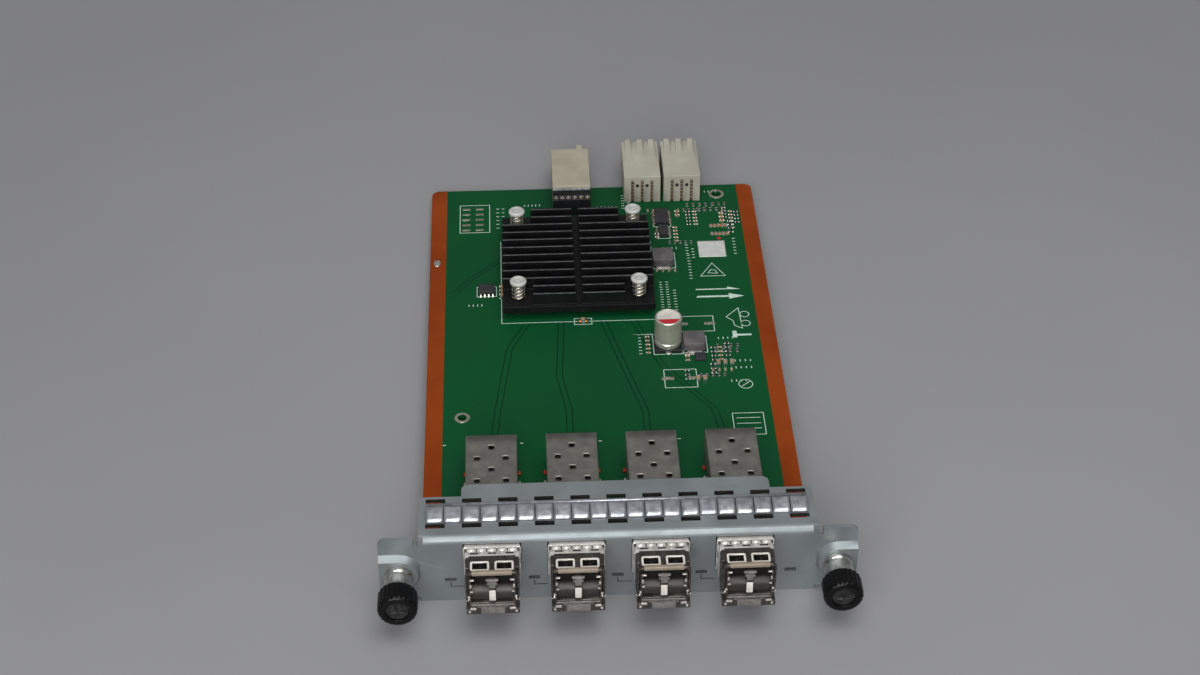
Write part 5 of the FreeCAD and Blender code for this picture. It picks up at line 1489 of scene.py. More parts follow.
@dataclass
class ThumbScrews:
    """Captive thumb screws: fluted knobs, cross heads, threads, turned ferrules and springs."""

    flutes: int = 22
    flute_depth: float = 0.26
    recess: float = 3.0
    recess_depth: float = 0.9
    ease: float = 0.7
    knob_wall: float = 1.0
    stem: float = 1.5
    web_rear: float = 2.05
    cross: Span = (1.9, 0.38)
    cross_depth: float = 0.5
    dome: float = 0.22
    ring_from_end: float = 4.75
    ring: Span = (2.3, 0.6)
    thread_pitch: float = 0.5
    thread_depth: float = 0.24
    steps: int = 220
    spring_wire: float = 0.4
    spring_turns: float = 3.5
    travel: float = 3.7

    def knob(self, side: str) -> Node:
        """A knob: its outer radius is R - d (0.5 - 0.5 cos(n v))^2, faded out towards both rims.

        Args:
            side: Side of the card.

        Returns:
            The object.
        """
        node = f"{side}_knob"
        low, high = corners(node)
        x, radius, length = (low[0] + high[0]) / 2, (high[0] - low[0]) / 2, high[1] - low[1]
        bore, stem, rear = radius - self.knob_wall, self.stem, self.web_rear
        line = np.array([[stem, rear], [stem, self.recess_depth], [self.recess, self.recess_depth],
                         [self.recess, 0.12], [self.recess + 0.35, 0.0], [radius - self.ease, 0.0],
                         [radius, self.ease], [radius, length - 0.4], [radius - 0.4, length],
                         [bore, length], [bore, rear], [stem, rear]])
        profile = np.vstack([eased(line[:5], 0.1), eased(line[4:8], 0.5, 6)[1:-1],
                             eased(line[6:], 0.2)[1:]])
        angle = np.linspace(0, 2 * np.pi, self.steps, endpoint=False)[None, :]
        outer = np.clip((profile[:, :1] - (radius - self.ease)) / self.ease, 0, 1) ** 2
        groove = (0.5 - 0.5 * np.cos(self.flutes * angle)) ** 2
        reach = profile[:, :1] - self.flute_depth * outer * groove
        grid = laid(reach * np.cos(angle), reach * np.sin(angle), profile[:, 1:2], Axis.Y)
        surface = Surface().add(grid + (x, low[1], 0), KNOB, caps=False)
        return surface.piece(f"{side}_fluted_knob", body_of(node), node)

    def screw(self, side: str) -> Node:
        """A screw: a domed head with a cross, a retaining ring, and a thread r - d |saw(y/p - v)|.

        Args:
            side: Side of the card.

        Returns:
            The object.
        """
        node = f"{side}_thumb_screw"
        low, high = corners(node)
        x, head, run = (low[0] + high[0]) / 2, (high[0] - low[0]) / 2, high[1] - low[1]
        angle = np.linspace(0, 2 * np.pi, 96, endpoint=False)[None, :]
        radius = np.linspace(0.02, head, 26)[:, None]
        a, b = radius * np.cos(angle), radius * np.sin(angle)
        long_arm, short_arm = self.cross

        def bar(p: np.ndarray, q: np.ndarray) -> np.ndarray:
            """One where p is within the long arm and q within the short one, with soft edges."""
            return (np.clip((long_arm - abs(p)) / 0.15, 0, 1)
                    * np.clip((short_arm - abs(q)) / 0.12, 0, 1))

        sunk = self.cross_depth * np.maximum(bar(a, b), bar(b, a))
        y = low[1] + self.dome * (radius / head) ** 2 + sunk
        surface = Surface().add(laid(a, b, y, Axis.Y) + (x, 0, 0), DARK_STEEL)
        front, (ring, thick) = run - self.ring_from_end, self.ring
        rear = front + thick
        line = np.array([[head, self.dome], [head, 0.7], [1.48, 0.7], [1.48, front], [ring, front],
                         [ring, rear], [1.26, rear]])
        surface.lathe(eased(line, 0.1, 3), (x, low[1], 0), NICKEL, Axis.Y, 40)
        y = np.linspace(rear, run - 0.25, 72)[:, None]
        turn = np.linspace(0, 2 * np.pi, 36, endpoint=False)[None, :]
        saw = abs(((y / self.thread_pitch - turn / (2 * np.pi)) % 1) * 2 - 1)
        reach = self.stem - self.thread_depth * saw
        reach[-1] = 1.1
        grid = laid(reach * np.cos(turn), reach * np.sin(turn), y, Axis.Y) + (x, low[1], 0)
        end = grid[-1:].copy()
        end[..., 1] = high[1]
        end[..., [0, 2]] = (end[..., [0, 2]] - (x, 0)) * 0.8 + (x, 0)
        surface.add(np.vstack([grid, end]), NICKEL)
        return surface.piece(f"{side}_cross_screw", body_of(node), node, smooth=50)

    def ferrule(self, side: str) -> Node:
        """A ferrule: its profile turned, with a groove behind the mouth and a pressed foot.

        Args:
            side: Side of the card.

        Returns:
            The object.
        """
        node = f"{side}_ferrule"
        low, high = corners(node)
        x, radius, run = (low[0] + high[0]) / 2, (high[0] - low[0]) / 2, high[1] - low[1]
        foot = run - 1.2
        line = np.array([[1.62, foot - 0.7], [3.0, foot - 0.7], [3.0, 0], [radius - 0.3, 0],
                         [radius, 0.35], [radius, foot - 2.4], [radius - 0.35, foot - 2.1],
                         [radius - 0.35, foot - 1.5], [radius, foot - 1.2], [radius, foot - 0.02],
                         [2.5, foot - 0.02], [2.5, run], [1.62, run], [1.62, foot - 0.7]])
        surface = Surface().lathe(eased(line, 0.18, 4), (x, low[1], 0), NICKEL, Axis.Y, 72)
        return surface.piece(f"{side}_turned_ferrule", "card", node)

    def spring(self, side: str) -> Node:
        """A return spring wound to fill its frame node's box.

        Its wire is a circle carried along a helix.

        Args:
            side: Side of the card.

        Returns:
            The object.
        """
        node, wire = f"{side}_screw_spring", self.spring_wire
        low, high = corners(node)
        x, run = (low[0] + high[0]) / 2, high[1] - low[1]
        radius = (high[0] - low[0]) / 2 - wire / 2
        path = helix((x, low[1] + wire / 2, 0), radius, self.spring_turns, run - wire, Axis.Y)
        made = Surface().add(carried(path, circle(wire / 2, 10), (0, 1, 0)), SPRING)
        piece = made.piece(f"{side}_return_spring", body_of(node), node, smooth=60)
        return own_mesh(piece)

    def build(self) -> list[Node]:
        """Builds both thumb screws."""
        return [part(side) for side in ("left", "right")
                for part in (self.knob, self.screw, self.ferrule, self.spring)]


@dataclass
class Heatsink:
    """Black finned heatsink held by four sprung push pins."""

    fins: int = 12
    fin: float = 0.8
    margin: float = 1.0
    channel: float = 2.0
    corner: float = 9.0
    edge: float = 0.3
    base: float = 2.4
    head: Span = (2.5, 1.2)
    stem: Span = (1.3, 1.8)
    spring_radius: float = 1.85
    wire: float = 0.27
    turns: float = 4.5

    def sink(self) -> list[Node]:
        """The finned block, and the worn front edges of its fins as thin pale lines.

        Returns:
            The block and the lines.
        """
        low, high = corners("heatsink")
        middle = (low[0] + high[0]) / 2
        first = low[1] + self.margin
        pitch = (high[1] - low[1] - 2 * self.margin - self.fin) / (self.fins - 1)
        surface = Surface()
        for index in range(self.fins):
            end = min(index, self.fins - 1 - index)
            reach = (high[0] - low[0]) / 2 - (self.corner if end < 2 else 0.0)
            y = first + index * pitch + self.edge / 2
            for side in SIDES:
                line = [[middle + side * out, y] for out in (self.channel / 2 + 0.1, reach - 0.15)]
                surface.add(ribbon(line, self.edge, high[2] - 0.08, high[2] + 0.008), FIN_EDGE)
        return [softened("heatsink", "finned_heatsink", ANODISED, 0.1),
                surface.piece("fin_edges", "card")]

    def pins(self) -> list[Node]:
        """Push pins turned with a ringed head and a centre dot, and their round-wire springs.

        Returns:
            The pins and the springs.
        """
        pins, springs = Surface(), Surface()
        start = corners("heatsink")[0][2] + self.base + self.wire
        (wide, thick), (stem, barb) = self.head, self.stem
        for low, high in solids("push_pins"):
            x, y = (low[0] + high[0]) / 2, (low[1] + high[1]) / 2
            top, head, foot = high[2], high[2] - thick, low[2]
            line = np.array([[0.0, top - 0.1], [0.45, top - 0.1], [0.62, top - 0.32],
                             [1.25, top - 0.32], [1.45, top - 0.02], [2.0, top - 0.05],
                             [wide, top - 0.45], [wide, head + 0.15], [2.2, head], [stem, head],
                             [stem, foot + barb], [1.75, foot + barb], [1.7, foot + 1.3],
                             [0.8, foot], [0.0, foot]])
            pins.lathe(tipped(line, 0.14), (x, y, 0), PIN, sides=40)
            path = helix((x, y, start), self.spring_radius, self.turns,
                         head - start - self.wire, Axis.Z)
            springs.add(carried(path, circle(self.wire, 10), (0, 0, 1)), SPRING)
        return [pins.piece("push_pin_set", "card", "push_pins"),
                springs.piece("push_pin_spring_set", "card", "push_pin_springs")]

    def build(self) -> list[Node]:
        """Builds the heatsink and dresses the chip and pad under it.

        Returns:
            The objects.
        """
        dress(CHIP, "switch_chip")
        dress(PAD_GREY, "thermal_pad")
        return [*self.sink(), *self.pins()]


@dataclass
class RearConnectors:
    """Signal and power connectors at the board's rear edge."""

    rings: int = 6
    ring: Span = (0.62, 0.5)
    ring_place: Span = (1.1, 0.12)
    ring_wire: float = 0.17
    ring_mean: float = 0.56
    strip: Span = (1.0, 0.42)
    beads: int = 6
    bead: Span = (0.62, 0.62)
    pocket: Span = (1.0, 1.1)
    pocket_drop: float = 2.0
    pocket_back: float = 0.8
    way_pitch: float = 3.1

    def signal(self) -> list[Node]:
        """Housing, wafer block, shield strip and one pale ring for each wafer.

        Returns:
            The housing, the wafers and the rings.
        """
        low, high = corners("signal_wafers")
        foot, lip = corners("signal_contacts")
        pitch = (high[0] - low[0]) / self.rings
        (depth, thick), section = self.strip, circle(self.ring_wire, 8)
        oval = circle(1.0, 20) * self.ring
        surface = Surface()
        for x in low[0] + (np.arange(self.rings) + 0.5) * pitch:
            centre = np.array([x, low[1] + self.ring_place[0], foot[2] + self.ring_place[1]])
            outward = np.column_stack([oval, np.zeros(20)])
            grid = (centre + outward[:, None]
                    + outward[:, None] / self.ring_mean * section[None, :, :1]
                    + np.array([0, 0, 1.0]) * section[None, :, 1:])
            surface.add(grid, PAD_TIN, loop=True)
            surface.brick((x - pitch / 2 + 0.06, x + pitch / 2 - 0.06), (lip[1] - depth, lip[1]),
                          (lip[2] - thick, lip[2]), (0.18, 0.1), TIN)
        surface.brick((low[0], high[0]), (lip[1] - depth + 0.05, lip[1] - 0.05),
                      (lip[2] - thick, lip[2] - 0.1), (0.1, 0.05), TIN)
        return [softened("signal_housing", "signal_shroud", BEIGE, 0.15),
                softened("signal_wafers", "wafer_block", BLACK_PLASTIC_AND_SHADE, 0.1),
                surface.piece("signal_rings", "card", "signal_contacts")]

    def power(self) -> list[Node]:
        """Ivory blocks, columns of lead beads in their grooves, and on each two black plates that
        paint the shade in its pockets.

        Returns:
            The blocks, the beads and the pockets.
        """
        beads, pockets = Surface(), Surface()
        leads = solids("power_leads")
        for low, high in leads:
            run = (high[2] - low[2]) / self.beads
            for z in low[2] + (np.arange(self.beads) + 0.5) * run:
                beads.brick(about((low[0] + high[0]) / 2, self.bead[0]), (low[1] - 0.12, high[1]),
                            about(z, self.bead[1]), (0.2, 0.12), CONTACT, Axis.Y)
        wide, tall = self.pocket
        for first, second in zip(leads[:-1], leads[1:]):
            if second[0][0] - first[0][0] < self.way_pitch * 1.2:
                front, foot = first[1][1] - self.pocket_back, first[1][2] - self.pocket_drop
                x = (first[0][0] + second[1][0]) / 2
                # A thin black plate on the face: painted shade standing for the pocket's hollow.
                pockets.brick(about(x, wide), (front - 0.02, front + 0.1), (foot, foot + tall),
                              (0.1, 0.01), BLACK_PLASTIC_AND_SHADE, Axis.Y)
        return [softened("power_headers", "power_blocks", IVORY, 0.15),
                beads.piece("power_lead_beads", "card", "power_leads"),
                pockets.piece("power_pocket_shade", "card")]

    def build(self) -> list[Node]:
        """Builds all three connectors."""
        return [*self.signal(), *self.power()]


@dataclass
class Components:
    """Capacitor, inductors, chips and the small parts between them.

    An extra row is its first place, its direction, how many parts, their pitch, and r for
    resistors or c for capacitors.
    """

    can_sides: int = 72
    segment_share: float = 0.36
    coil_split: float = 0.42
    coil_inset: float = 0.1
    pin_mark: float = 0.75
    cap_share: float = 0.24
    small: tuple[float, float, float] = (0.75, 1.35, 0.4)
    lift: float = 0.05
    extra_rows: tuple = (
        (23.2, 143.0, "x", 5, 1.7, "r"), (30.0, 152.6, "y", 5, 1.75, "r"),
        (32.2, 152.6, "y", 5, 1.75, "c"), (27.2, 160.3, "x", 6, 1.7, "r"),
        (35.6, 160.6, "x", 4, 1.9, "c"), (43.6, 150.2, "y", 6, 1.8, "c"),
        (41.6, 156.0, "y", 4, 1.8, "r"), (45.4, 153.2, "y", 4, 1.9, "r"),
        (13.8, 152.4, "y", 3, 1.8, "r"), (16.0, 151.6, "y", 5, 1.75, "r"),
        (17.4, 160.5, "x", 4, 1.8, "c"), (25.4, 143.9, "y", 5, 1.8, "c"),
        (18.2, 128.3, "x", 4, 1.9, "c"), (17.4, 98.4, "x", 4, 1.8, "r"),
        (13.3, 88.2, "y", 5, 1.9, "c"), (32.4, 82.2, "y", 5, 1.9, "r"),
        (34.4, 84.2, "y", 4, 1.9, "c"), (36.6, 86.0, "y", 4, 1.9, "r"),
        (24.6, 84.3, "y", 2, 1.9, "c"), (28.0, 77.0, "x", 5, 1.7, "r"),
        (31.6, 79.3, "x", 4, 1.8, "c"), (-29.6, 116.4, "y", 4, 2.0, "r"),
        (33.8, 90.6, "x", 4, 2.0, "r"), (24.0, 75.6, "y", 3, 1.9, "r"),
        (19.5, 146.2, "y", 2, 1.8, "c"), (38.6, 163.4, "x", 3, 1.8, "r"))

    def capacitor(self) -> list[Node]:
        """Can with a rolled waist and crown, its red segment and its moulded base.

        Returns:
            The can, the base and its solder.
        """
        low, high = corners("capacitor_can")
        x, y = (low[0] + high[0]) / 2, (low[1] + high[1]) / 2
        radius, foot, top = (high[0] - low[0]) / 2, low[2], high[2]
        base = [[radius - 0.1, foot], [radius, foot + 0.3], [radius, foot + 1.1]]
        waist = [[radius, foot + 1.1], [radius + 0.02, foot + 1.3], [radius - 0.3, foot + 1.6],
                 [radius - 0.3, foot + 1.8], [radius, foot + 2.15]]
        wall = [[radius, foot + 2.15], [radius, top - 0.45], [radius - 0.1, top - 0.2]]
        crown = [[radius - 0.1, top - 0.2], [radius - 0.32, top - 0.02], [radius - 0.5, top - 0.05],
                 [radius - 0.62, top - 0.12]]
        lid = [[radius - 0.62, top - 0.12], [1.2, top - 0.08], [0.0, top - 0.08]]
        can = Surface()
        for profile, finish in ((np.vstack([[[0, foot]], eased(base, 0.12)]), CAN),
                                (eased(waist, 0.14), CAN_RING), (eased(wall, 0.12), CAN),
                                (eased(crown, 0.1), CAN_RING), (lid, CAN_TOP)):
            can.lathe(profile, (x, y, 0), finish, sides=self.can_sides)
        reach, half = radius - 0.66, math.acos(self.segment_share)
        angle = -np.pi / 2 + np.linspace(-half, half, 25)
        outline = np.stack([x + reach * np.cos(angle), y + reach * np.sin(angle)], -1)
        can.add(plate(outline, top - 0.13, top - 0.055), RED)
        front, board = corners("capacitor_base")[0][1:]
        solder = Surface().brick((x - 0.9, x + 0.9), (front - 1.0, front + 0.4),
                                 (board, board + 0.5), (0.5, 0.45), SOLDER)
        return [can.piece("capacitor_body", "card", "capacitor_can"),
                softened("capacitor_base", "capacitor_foot", BLACK_PLASTIC_AND_SHADE, 0.12),
                solder.piece("capacitor_solder", "card")]

    def inductors(self) -> Node:
        """Two-layer moulded inductors: a paler block with large eased edges on a darker foot.

        Returns:
            The object.
        """
        surface = Surface()
        for low, high in solids("inductors"):
            split = low[2] + self.coil_split * (high[2] - low[2])
            surface.add(block(low, (*high[:2], split), 0.7, 0.12, steps=5), FERRITE_DARK)
            upper = block((*(low[:2] + self.coil_inset), split - 0.1),
                          (*(high[:2] - self.coil_inset), high[2]), 0.8, 0.3, steps=5)
            surface.add(upper, FERRITE)
            surface.brick(about((low[0] + high[0]) / 2, 4.4), (low[1] - 0.5, low[1] + 0.3),
                          (low[2], low[2] + 0.35), (0.2, 0.15), SOLDER)
        return surface.piece("power_inductors", "card", "inductors")

    def chips(self) -> list[Node]:
        """Chip mouldings with rounded edges and pin-one marks, and their gull leads.

        Returns:
            The mouldings and the leads.
        """
        surface = Surface()
        for low, high in solids("chip_bodies"):
            surface.add(block(low, high, 0.16, 0.12), CHIP)
            place = (low[0] + self.pin_mark, high[1] - self.pin_mark, high[2])
            surface.lathe([[0, 0.006], [0.22, 0.006], [0.26, 0.0]], place, PANEL_INK, sides=20)
        return [surface.piece("chip_mouldings", "card", "chip_bodies"),
                softened("chip_leads", "gull_leads", PAD_TIN, 0.04)]

    def small_part(self, surface: Surface, low: np.ndarray, high: np.ndarray, core: Finish) -> None:
        """A two-ended part: a slimmer core between two solder-dipped caps.

        Args:
            surface: Surface that it goes into.
            low: Lowest corner.
            high: Highest corner.
            core: Finish between the caps.
        """
        size = high - low
        along = 0 if size[0] > size[1] else 1
        axis = (Axis.X, Axis.Y)[along]
        cap = self.cap_share * size[along]
        rest = np.eye(3)[along] * (size[along] - cap)
        surface.add(block(low, high - rest, 0.1, 0.06, axis, 2), SOLDER)
        surface.add(block(low + rest, high, 0.1, 0.06, axis, 2), SOLDER)
        slim = np.array([0.04, 0.04, 0.0])
        slim[along] = cap * 0.8
        surface.add(block(low + slim, high - slim - (0, 0, 0.05), 0.05, 0.02, axis, 2), core)

    def small_parts(self) -> Node:
        """Every small resistor and capacitor, those of the frame and the smaller ones between them.

        Returns:
            The object.
        """
        surface = Surface()
        for node, core in (("chip_resistors", CHIP), ("chip_capacitors", CERAMIC)):
            for low, high in solids(node):
                self.small_part(surface, low, high, core)
        board = corners("circuit_board")[1][2]
        short, long, tall = self.small
        for x, y, way, count, pitch, kind in self.extra_rows:
            dx, dy = WAYS[way]
            size = np.array([short, long, tall] if dx else [long, short, tall])
            for step in range(count):
                middle = np.array([x + dx * step * pitch, y + dy * step * pitch, board + tall / 2])
                self.small_part(surface, middle - size / 2, middle + size / 2,
                                CHIP if kind == "r" else CERAMIC)
        return surface.piece("small_parts", "card", "chip_resistors", "chip_capacitors")

    def label(self) -> Node:
        """Blank paper label with slightly lifted corners: its height rises as (x/a)^8 (y/b)^8.

        Returns:
            The object.
        """
        low, high = corners("board_label")
        share = np.linspace(-1, 1, 17)
        x = ((low[0] + high[0]) / 2 + share * (high[0] - low[0]) / 2)[:, None]
        y = (low[1] + high[1]) / 2 + share * (high[1] - low[1]) / 2
        z = high[2] - self.lift + self.lift * np.minimum(1, share[:, None] ** 8 * share ** 8)
        sheet = Surface().drape(x, y, z, LABEL, low - (0, 0, 50.0))
        return sheet.piece("blank_label", "card", "board_label", sheet=0.08)

    def build(self) -> list[Node]:
        """Builds all components."""
        return [*self.capacitor(), self.inductors(), *self.chips(), self.small_parts(),
                self.label()]


@dataclass
class BoardPrint:
    """What is printed or plated on the board: ink, pads, hole rings, trace bundles and solder.

    A tick row is its first place, its direction, how many ticks and their pitch. A pad is its
    middle and its size.
    """

    ink: float = 0.22
    rise: float = 0.02
    frame_gap: float = 0.5
    framed_chips: int = 3
    dash: Span = (0.28, 0.9)
    loops: tuple = (
        ((9.0, 97.1), (14.9, 97.1), (14.9, 87.4), (23.5, 87.4), (23.5, 96.6)),
        ((23.6, 105.2), (33.6, 105.2), (33.6, 97.9), (23.6, 97.9)),
        ((17.2, 80.2), (26.6, 80.2), (26.6, 72.0), (17.2, 72.0)),
        ((35.4, 59.9), (44.2, 59.9), (44.2, 50.5), (35.4, 50.5)),
        ((31.6, 125.2), (39.2, 125.2), (35.6, 131.8)),
        ((34.0, 126.8), (36.9, 126.5), (36.2, 128.2), (34.9, 128.4)),
        ((37.6, 104.5), (41.6, 108.8), (42.0, 98.8), (39.8, 100.2), (39.5, 102.6)),
        ((-33.2, 166.2), (-42.6, 166.2), (-42.6, 151.2), (-33.2, 151.2)))
    lines: tuple = (
        ((39.1, 71.6), (41.9, 74.0)), ((36.4, 57.8), (43.2, 57.8)), ((36.4, 55.4), (43.2, 55.4)),
        ((36.4, 53.2), (43.2, 53.2)))
    rings: tuple = (((40.5, 72.8), 2.0), ((43.2, 105.6), 1.35), ((43.2, 101.2), 1.35))
    solid: tuple = (
        ((29.4, 118.2), (43.1, 118.2), (39.2, 119.5), (39.2, 118.7), (29.7, 118.7)),
        ((29.4, 114.4), (39.4, 114.4), (39.4, 113.4), (44.0, 114.8), (39.4, 116.2), (39.4, 115.2),
         (29.9, 115.2)),
        ((38.8, 94.5), (40.1, 94.5), (40.1, 95.3), (44.4, 95.3), (44.4, 96.1), (40.1, 96.1),
         (40.1, 97.6), (38.8, 97.6)))
    tick_rows: tuple = (
        (-30.6, 153.4, "y", 6, 2.1), (-28.9, 153.4, "y", 6, 2.1), (28.6, 124.2, "y", 9, 1.5),
        (19.0, 106.4, "y", 14, 1.25), (20.9, 106.4, "y", 14, 1.25), (23.0, 108.6, "y", 8, 1.4),
        (11.0, 88.0, "y", 7, 1.5), (28.4, 137.2, "y", 4, 1.5), (30.2, 135.0, "y", 4, 1.5),
        (38.4, 80.4, "x", 4, 1.5), (38.4, 83.6, "x", 4, 1.5), (34.4, 94.4, "x", 4, 1.4),
        (9.6, 162.6, "y", 6, 1.4), (11.4, 162.6, "y", 6, 1.4), (36.6, 74.4, "x", 4, 1.4),
        (43.4, 136.6, "y", 6, 1.6), (-46.2, 49.6, "y", 1, 1.5), (-24.6, 49.6, "y", 1, 1.5),
        (-2.6, 49.6, "y", 1, 1.5), (19.6, 49.6, "y", 1, 1.5), (-22.0, 165.4, "x", 5, 1.2),
        (1.4, 163.4, "x", 6, 1.2), (-39.6, 113.4, "x", 4, 1.3), (36.4, 170.8, "x", 4, 1.2),
        (17.6, 104.6, "x", 4, 1.3), (21.2, 140.2, "x", 4, 1.3))
    pads: tuple = (
        ((24.6, 101.6), (2.6, 1.2)), ((32.4, 101.6), (3.4, 1.2)), ((18.2, 76.2), (3.6, 1.3)),
        ((25.8, 76.2), (3.6, 1.3)), ((20.4, 129.4), (5.6, 0.9)), ((26.9, 87.2), (4.4, 0.9)))
    pin_pads: tuple = (((-40.6, 152.6), 5, 2.85), ((-36.4, 152.6), 5, 2.85))
    coil_pads: tuple = (((39.4, 151.8), (6.0, 1.3)), ((39.4, 147.4), (6.0, 1.3)))
    bundles: tuple = (
        ((-22.0, 104.2), (-27.6, 92.0), (-31.4, 62.0), (-32.4, 49.0)),
        ((-12.0, 104.2), (-13.2, 78.0), (-10.9, 64.0), (-10.9, 49.0)),
        ((0.6, 104.2), (6.4, 80.0), (10.9, 62.0), (10.9, 49.0)),
        ((9.6, 104.2), (17.2, 82.0), (30.6, 62.0), (32.6, 49.0)),
        ((-29.8, 136.0), (-38.0, 128.0), (-44.0, 120.0)))
    pin_pad: Span = (2.6, 0.9)
    pad_rise: float = 0.06
    fingers: int = 5
    bundle_lines: int = 2
    bundle_pitch: float = 1.7
    trace: float = 0.4

    def outlines(self, top: float) -> Node:
        """Ink loops, lines, rings and the frames round the heatsink, chips and capacitor.

        Args:
            top: Height of the board's upper face.

        Returns:
            The object.
        """
        surface = Surface()
        span = (top, top + self.rise)
        low, high = corners("heatsink")
        left, right, front = low[0] - 0.55, high[0] + 0.75, low[1] - 1.3
        sink = ((left, high[1] - 6.0), (left, front), (right, front), (right, front + 3.0))
        for points in (*self.lines, sink, ((right, high[1] - 8.0), (right, high[1] - 13.0))):
            surface.add(ribbon(points, self.ink, *span), INK)
        window = rectangle(about(-5.4, 5.2), about(front, 2.9))
        for points in (*self.loops, window):
            surface.add(ribbon(points, self.ink, *span, closed=True), INK, loop=True)
        for outline in self.solid:
            surface.add(plate(outline, *span), INK)
        gap = self.frame_gap
        frames = [rectangle((one[0] - gap, two[0] + gap), (one[1] - gap, two[1] + gap))
                  for one, two in (*solids("chip_bodies")[:self.framed_chips],
                                   *solids("inductors"))]
        for points in (*(circle(radius, 36) + place for place, radius in self.rings), *frames):
            surface.add(ribbon(points, self.ink, *span, closed=True), INK, loop=True)
        return surface.piece("ink_outlines", "card")

    def ticks(self, top: float) -> Node:
        """Rows of plain ink ticks beside the parts.

        Args:
            top: Height of the board's upper face.

        Returns:
            The object.
        """
        surface = Surface()
        across, along = self.dash
        for x, y, way, count, pitch in self.tick_rows:
            dx, dy = WAYS[way]
            wide, deep = (across, along) if dx else (along, across)
            for step in range(count):
                run = pitch * step
                outline = rectangle(about(x + dx * run, wide), about(y + dy * run, deep))
                surface.add(plate(outline, top, top + self.rise), INK)
        return surface.piece("ink_ticks", "card")

    def plated(self, top: float) -> Node:
        """Bare pads, hole rings, coil pads and solder.

        Args:
            top: Height of the board's upper face.

        Returns:
            The object.
        """
        surface = Surface()
        rows = [((x, y + step * pitch), self.pin_pad) for (x, y), count, pitch in self.pin_pads
                for step in range(count)]
        for (x, y), (wide, deep) in (*self.pads, *rows):
            surface.brick(about(x, wide), about(y, deep), (top, top + self.pad_rise), (0.2, 0.05),
                          PAD_TIN)
        for (x, y), (wide, deep) in self.coil_pads:
            surface.brick(about(x, wide), about(y, deep), (top, top + 0.05), (0.2, 0.04), PAD_GOLD)
            for step in range(self.fingers):
                at = about(x - wide / 2 + (step + 0.5) * wide / self.fingers, 0.7)
                surface.brick(at, (y - deep / 2 - 0.3, y + deep / 2 + 0.3), (top, top + 0.1),
                              (0.2, 0.08), SOLDER)
        low, high = corners("circuit_board")
        for x, y, hole in ((low[0] + 10.4, low[1] + 60.7, 1.3),
                           (high[0] - 11.6, high[1] - 5.2, 1.6)):
            surface.lathe([[hole + 0.02, -0.3], [hole + 0.02, 0.05], [hole + 0.85, 0.05],
                           [hole + 0.9, 0.0]], (x, y, top), PAD_TIN)
        surface.brick((-50.6, -48.4), (133.6, 136.6), (top - 0.4, top + 0.5), (0.9, 0.5), SOLDER)
        return surface.piece("plated_pads", "card")

    def marks(self, top: float) -> Node:
        """The amber-centred chip in the heatsink's window and the small red dot by the label.

        Args:
            top: Height of the board's upper face.

        Returns:
            The object.
        """
        front = corners("heatsink")[0][1] - 1.3
        surface = Surface()
        surface.brick((-6.9, -3.9), (front - 0.85, front + 0.85), (top, top + 0.5), (0.15, 0.1),
                      CHIP)
        surface.brick((-6.6, -4.2), (front - 0.85, front - 0.05), (top + 0.1, top + 0.56),
                      (0.12, 0.08), AMBER)
        surface.lathe([[0, 0.04], [0.5, 0.04], [0.65, 0]], (38.9, 144.9, top), RED, sides=24)
        return surface.piece("amber_chip_and_dot", "card")

    def traces(self, top: float) -> Node:
        """Bundles of fine traces under the mask: each line is the bundle's route moved along X.

        Args:
            top: Height of the board's upper face.

        Returns:
            The object.
        """
        surface = Surface()
        for route in self.bundles:
            points = eased(route, 1.2, 3)
            for index in range(self.bundle_lines):
                aside = (index - (self.bundle_lines - 1) / 2) * self.bundle_pitch
                surface.add(ribbon(points + (aside, 0), self.trace, top, top + 0.008), MASK_DARK)
        return surface.piece("trace_bundles", "card")

    def build(self) -> list[Node]:
        """Prints and plates the board, and dresses the board and its strips.

        Returns:
            The objects.
        """
        dress(MASK, "circuit_board")
        dress(STRIP, "edge_strips")
        top = corners("circuit_board")[1][2]
        return [part(top) for part in (self.outlines, self.ticks, self.plated, self.marks,
                                       self.traces)]


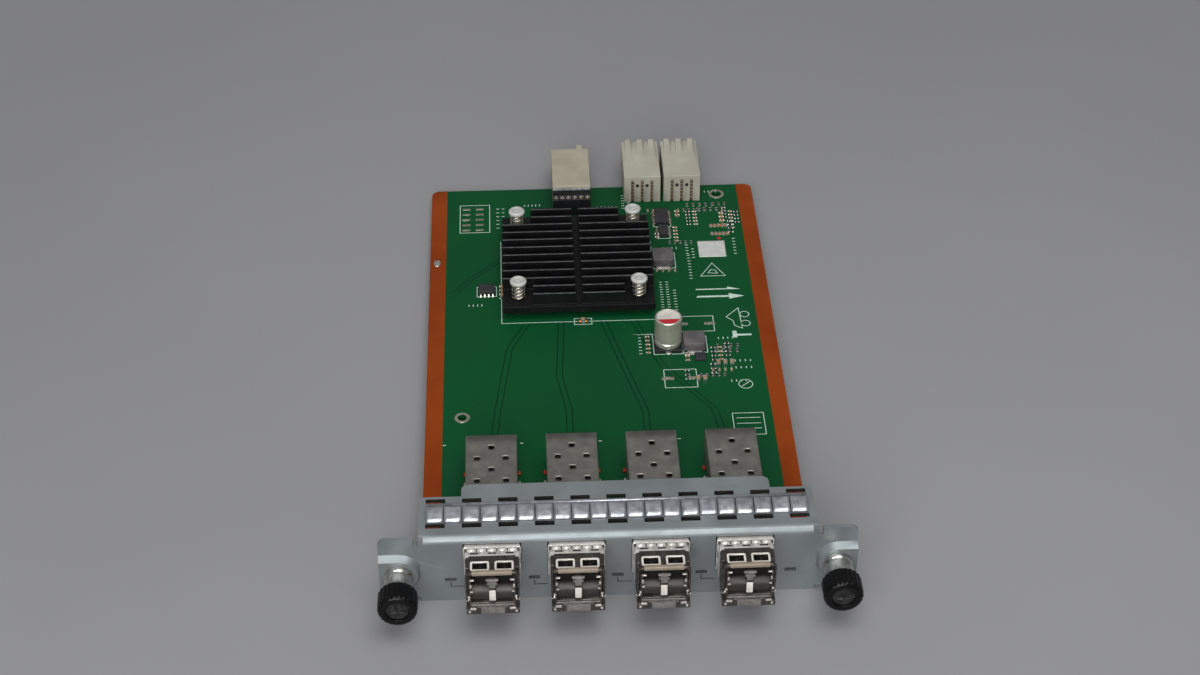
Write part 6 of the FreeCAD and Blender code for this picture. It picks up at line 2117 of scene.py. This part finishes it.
@dataclass
class Studio:
    """Pale table, soft lamps and the camera.

    A lamp is its name, its place and aim in metres, its size and its power. The camera's angles are
    in degrees for the pitch, and in radians for the small turns.
    """

    rest_height: float = -11.0
    rest_depth: float = -1.2
    sink: float = 0.02
    tilt: float = 0.0426
    reach: float = 2500.0
    cells: int = 9
    sky: tuple[float, ...] = (0.82, 0.83, 0.85, 1)
    sky_strength: float = 0.28
    lamps: tuple = (("ceiling_panel", (0.10, -0.20, 0.92), (0, 0.04, 0), 0.7, 5.6),
                    ("front_panel_lamp", (-0.25, -1.0, 0.62), (0, 0.03, 0), 0.9, 12.5))
    eye: Place = (-21.93, -408.34, 398.95)
    pitch: float = 38.4
    yaw: float = 0.0421
    roll: float = -0.0016
    lens: float = 65.11
    sensor: float = 36.0
    clip: Span = (0.01, 20.0)

    def table(self) -> None:
        """The table under the card: z = rest height + tilt (y - rest depth)."""
        share = np.linspace(-1, 1, self.cells)
        x, y = self.reach * share[:, None], self.reach * share
        z = self.rest_height - self.sink + self.tilt * (y - self.rest_depth)
        index = np.arange(self.cells ** 2).reshape(self.cells, self.cells)
        mesh = bpy.data.meshes.new("table")
        points = laid(x, y, z, Axis.Z).reshape(-1, 3) * MM
        mesh.from_pydata(points.tolist(), [], quads_of(index).tolist())
        mesh.materials.append(FLOOR.material())
        made = linked("table", mesh)

    def lamp(self, name: str, place: Place, aim: Place, size: float, power: float) -> None:
        """A square soft lamp.

        Args:
            name: Its name.
            place: Where it is, in metres.
            aim: Point that it faces, in metres.
            size: Its side, in metres.
            power: Its power, in watts.
        """
        light = bpy.data.lights.new(name, "AREA")
        light.size = size
        light.energy = power
        made = linked(name, light)
        made.location = place
        made.rotation_euler = (Vector(aim) - Vector(place)).to_track_quat("-Z", "Y").to_euler()

    def light(self) -> None:
        """World and lamps at a plain level."""
        world = bpy.data.worlds.new("studio")
        world.use_nodes = True
        back = world.node_tree.nodes["Background"]
        back.inputs["Color"].default_value = self.sky
        back.inputs["Strength"].default_value = self.sky_strength
        bpy.context.scene.world = world
        for lamp in self.lamps:
            self.lamp(*lamp)

    def camera(self) -> None:
        """The camera, looking down at the card from the front."""
        pitch = math.radians(self.pitch)
        ahead = Vector((math.sin(self.yaw) * math.cos(pitch), math.cos(self.yaw) * math.cos(pitch),
                        -math.sin(pitch)))
        level = Vector((math.cos(self.yaw), -math.sin(self.yaw), 0))
        rise = level.cross(ahead)
        right = math.cos(self.roll) * level + math.sin(self.roll) * rise
        up = -math.sin(self.roll) * level + math.cos(self.roll) * rise
        data = bpy.data.cameras.new("camera")
        data.lens, data.sensor_width, data.sensor_fit = self.lens, self.sensor, "HORIZONTAL"
        data.clip_start, data.clip_end = self.clip
        turn = Matrix((right, up, -ahead)).transposed().to_4x4()
        turn.translation = Vector(self.eye) * MM
        made = linked("camera", data)
        made.matrix_world = turn
        bpy.context.scene.camera = made

    def build(self) -> None:
        """Sets the stage."""
        bpy.context.scene.view_settings.view_transform = "Standard"
        self.table()
        self.light()
        self.camera()


def main() -> None:
    """Builds the card's sub-assemblies in order."""
    logging.basicConfig(level=logging.INFO, format="%(name)s %(message)s")
    parts = (FrontPanel(), Cages(), Transceivers(), ThumbScrews(), Heatsink(), RearConnectors(),
             Components(), BoardPrint())
    for part in parts:
        made = part.build()
        LOG.info("%s: %d pieces", type(part).__name__, len(made))
    Studio().build()


if __name__ == "__main__":
    main()
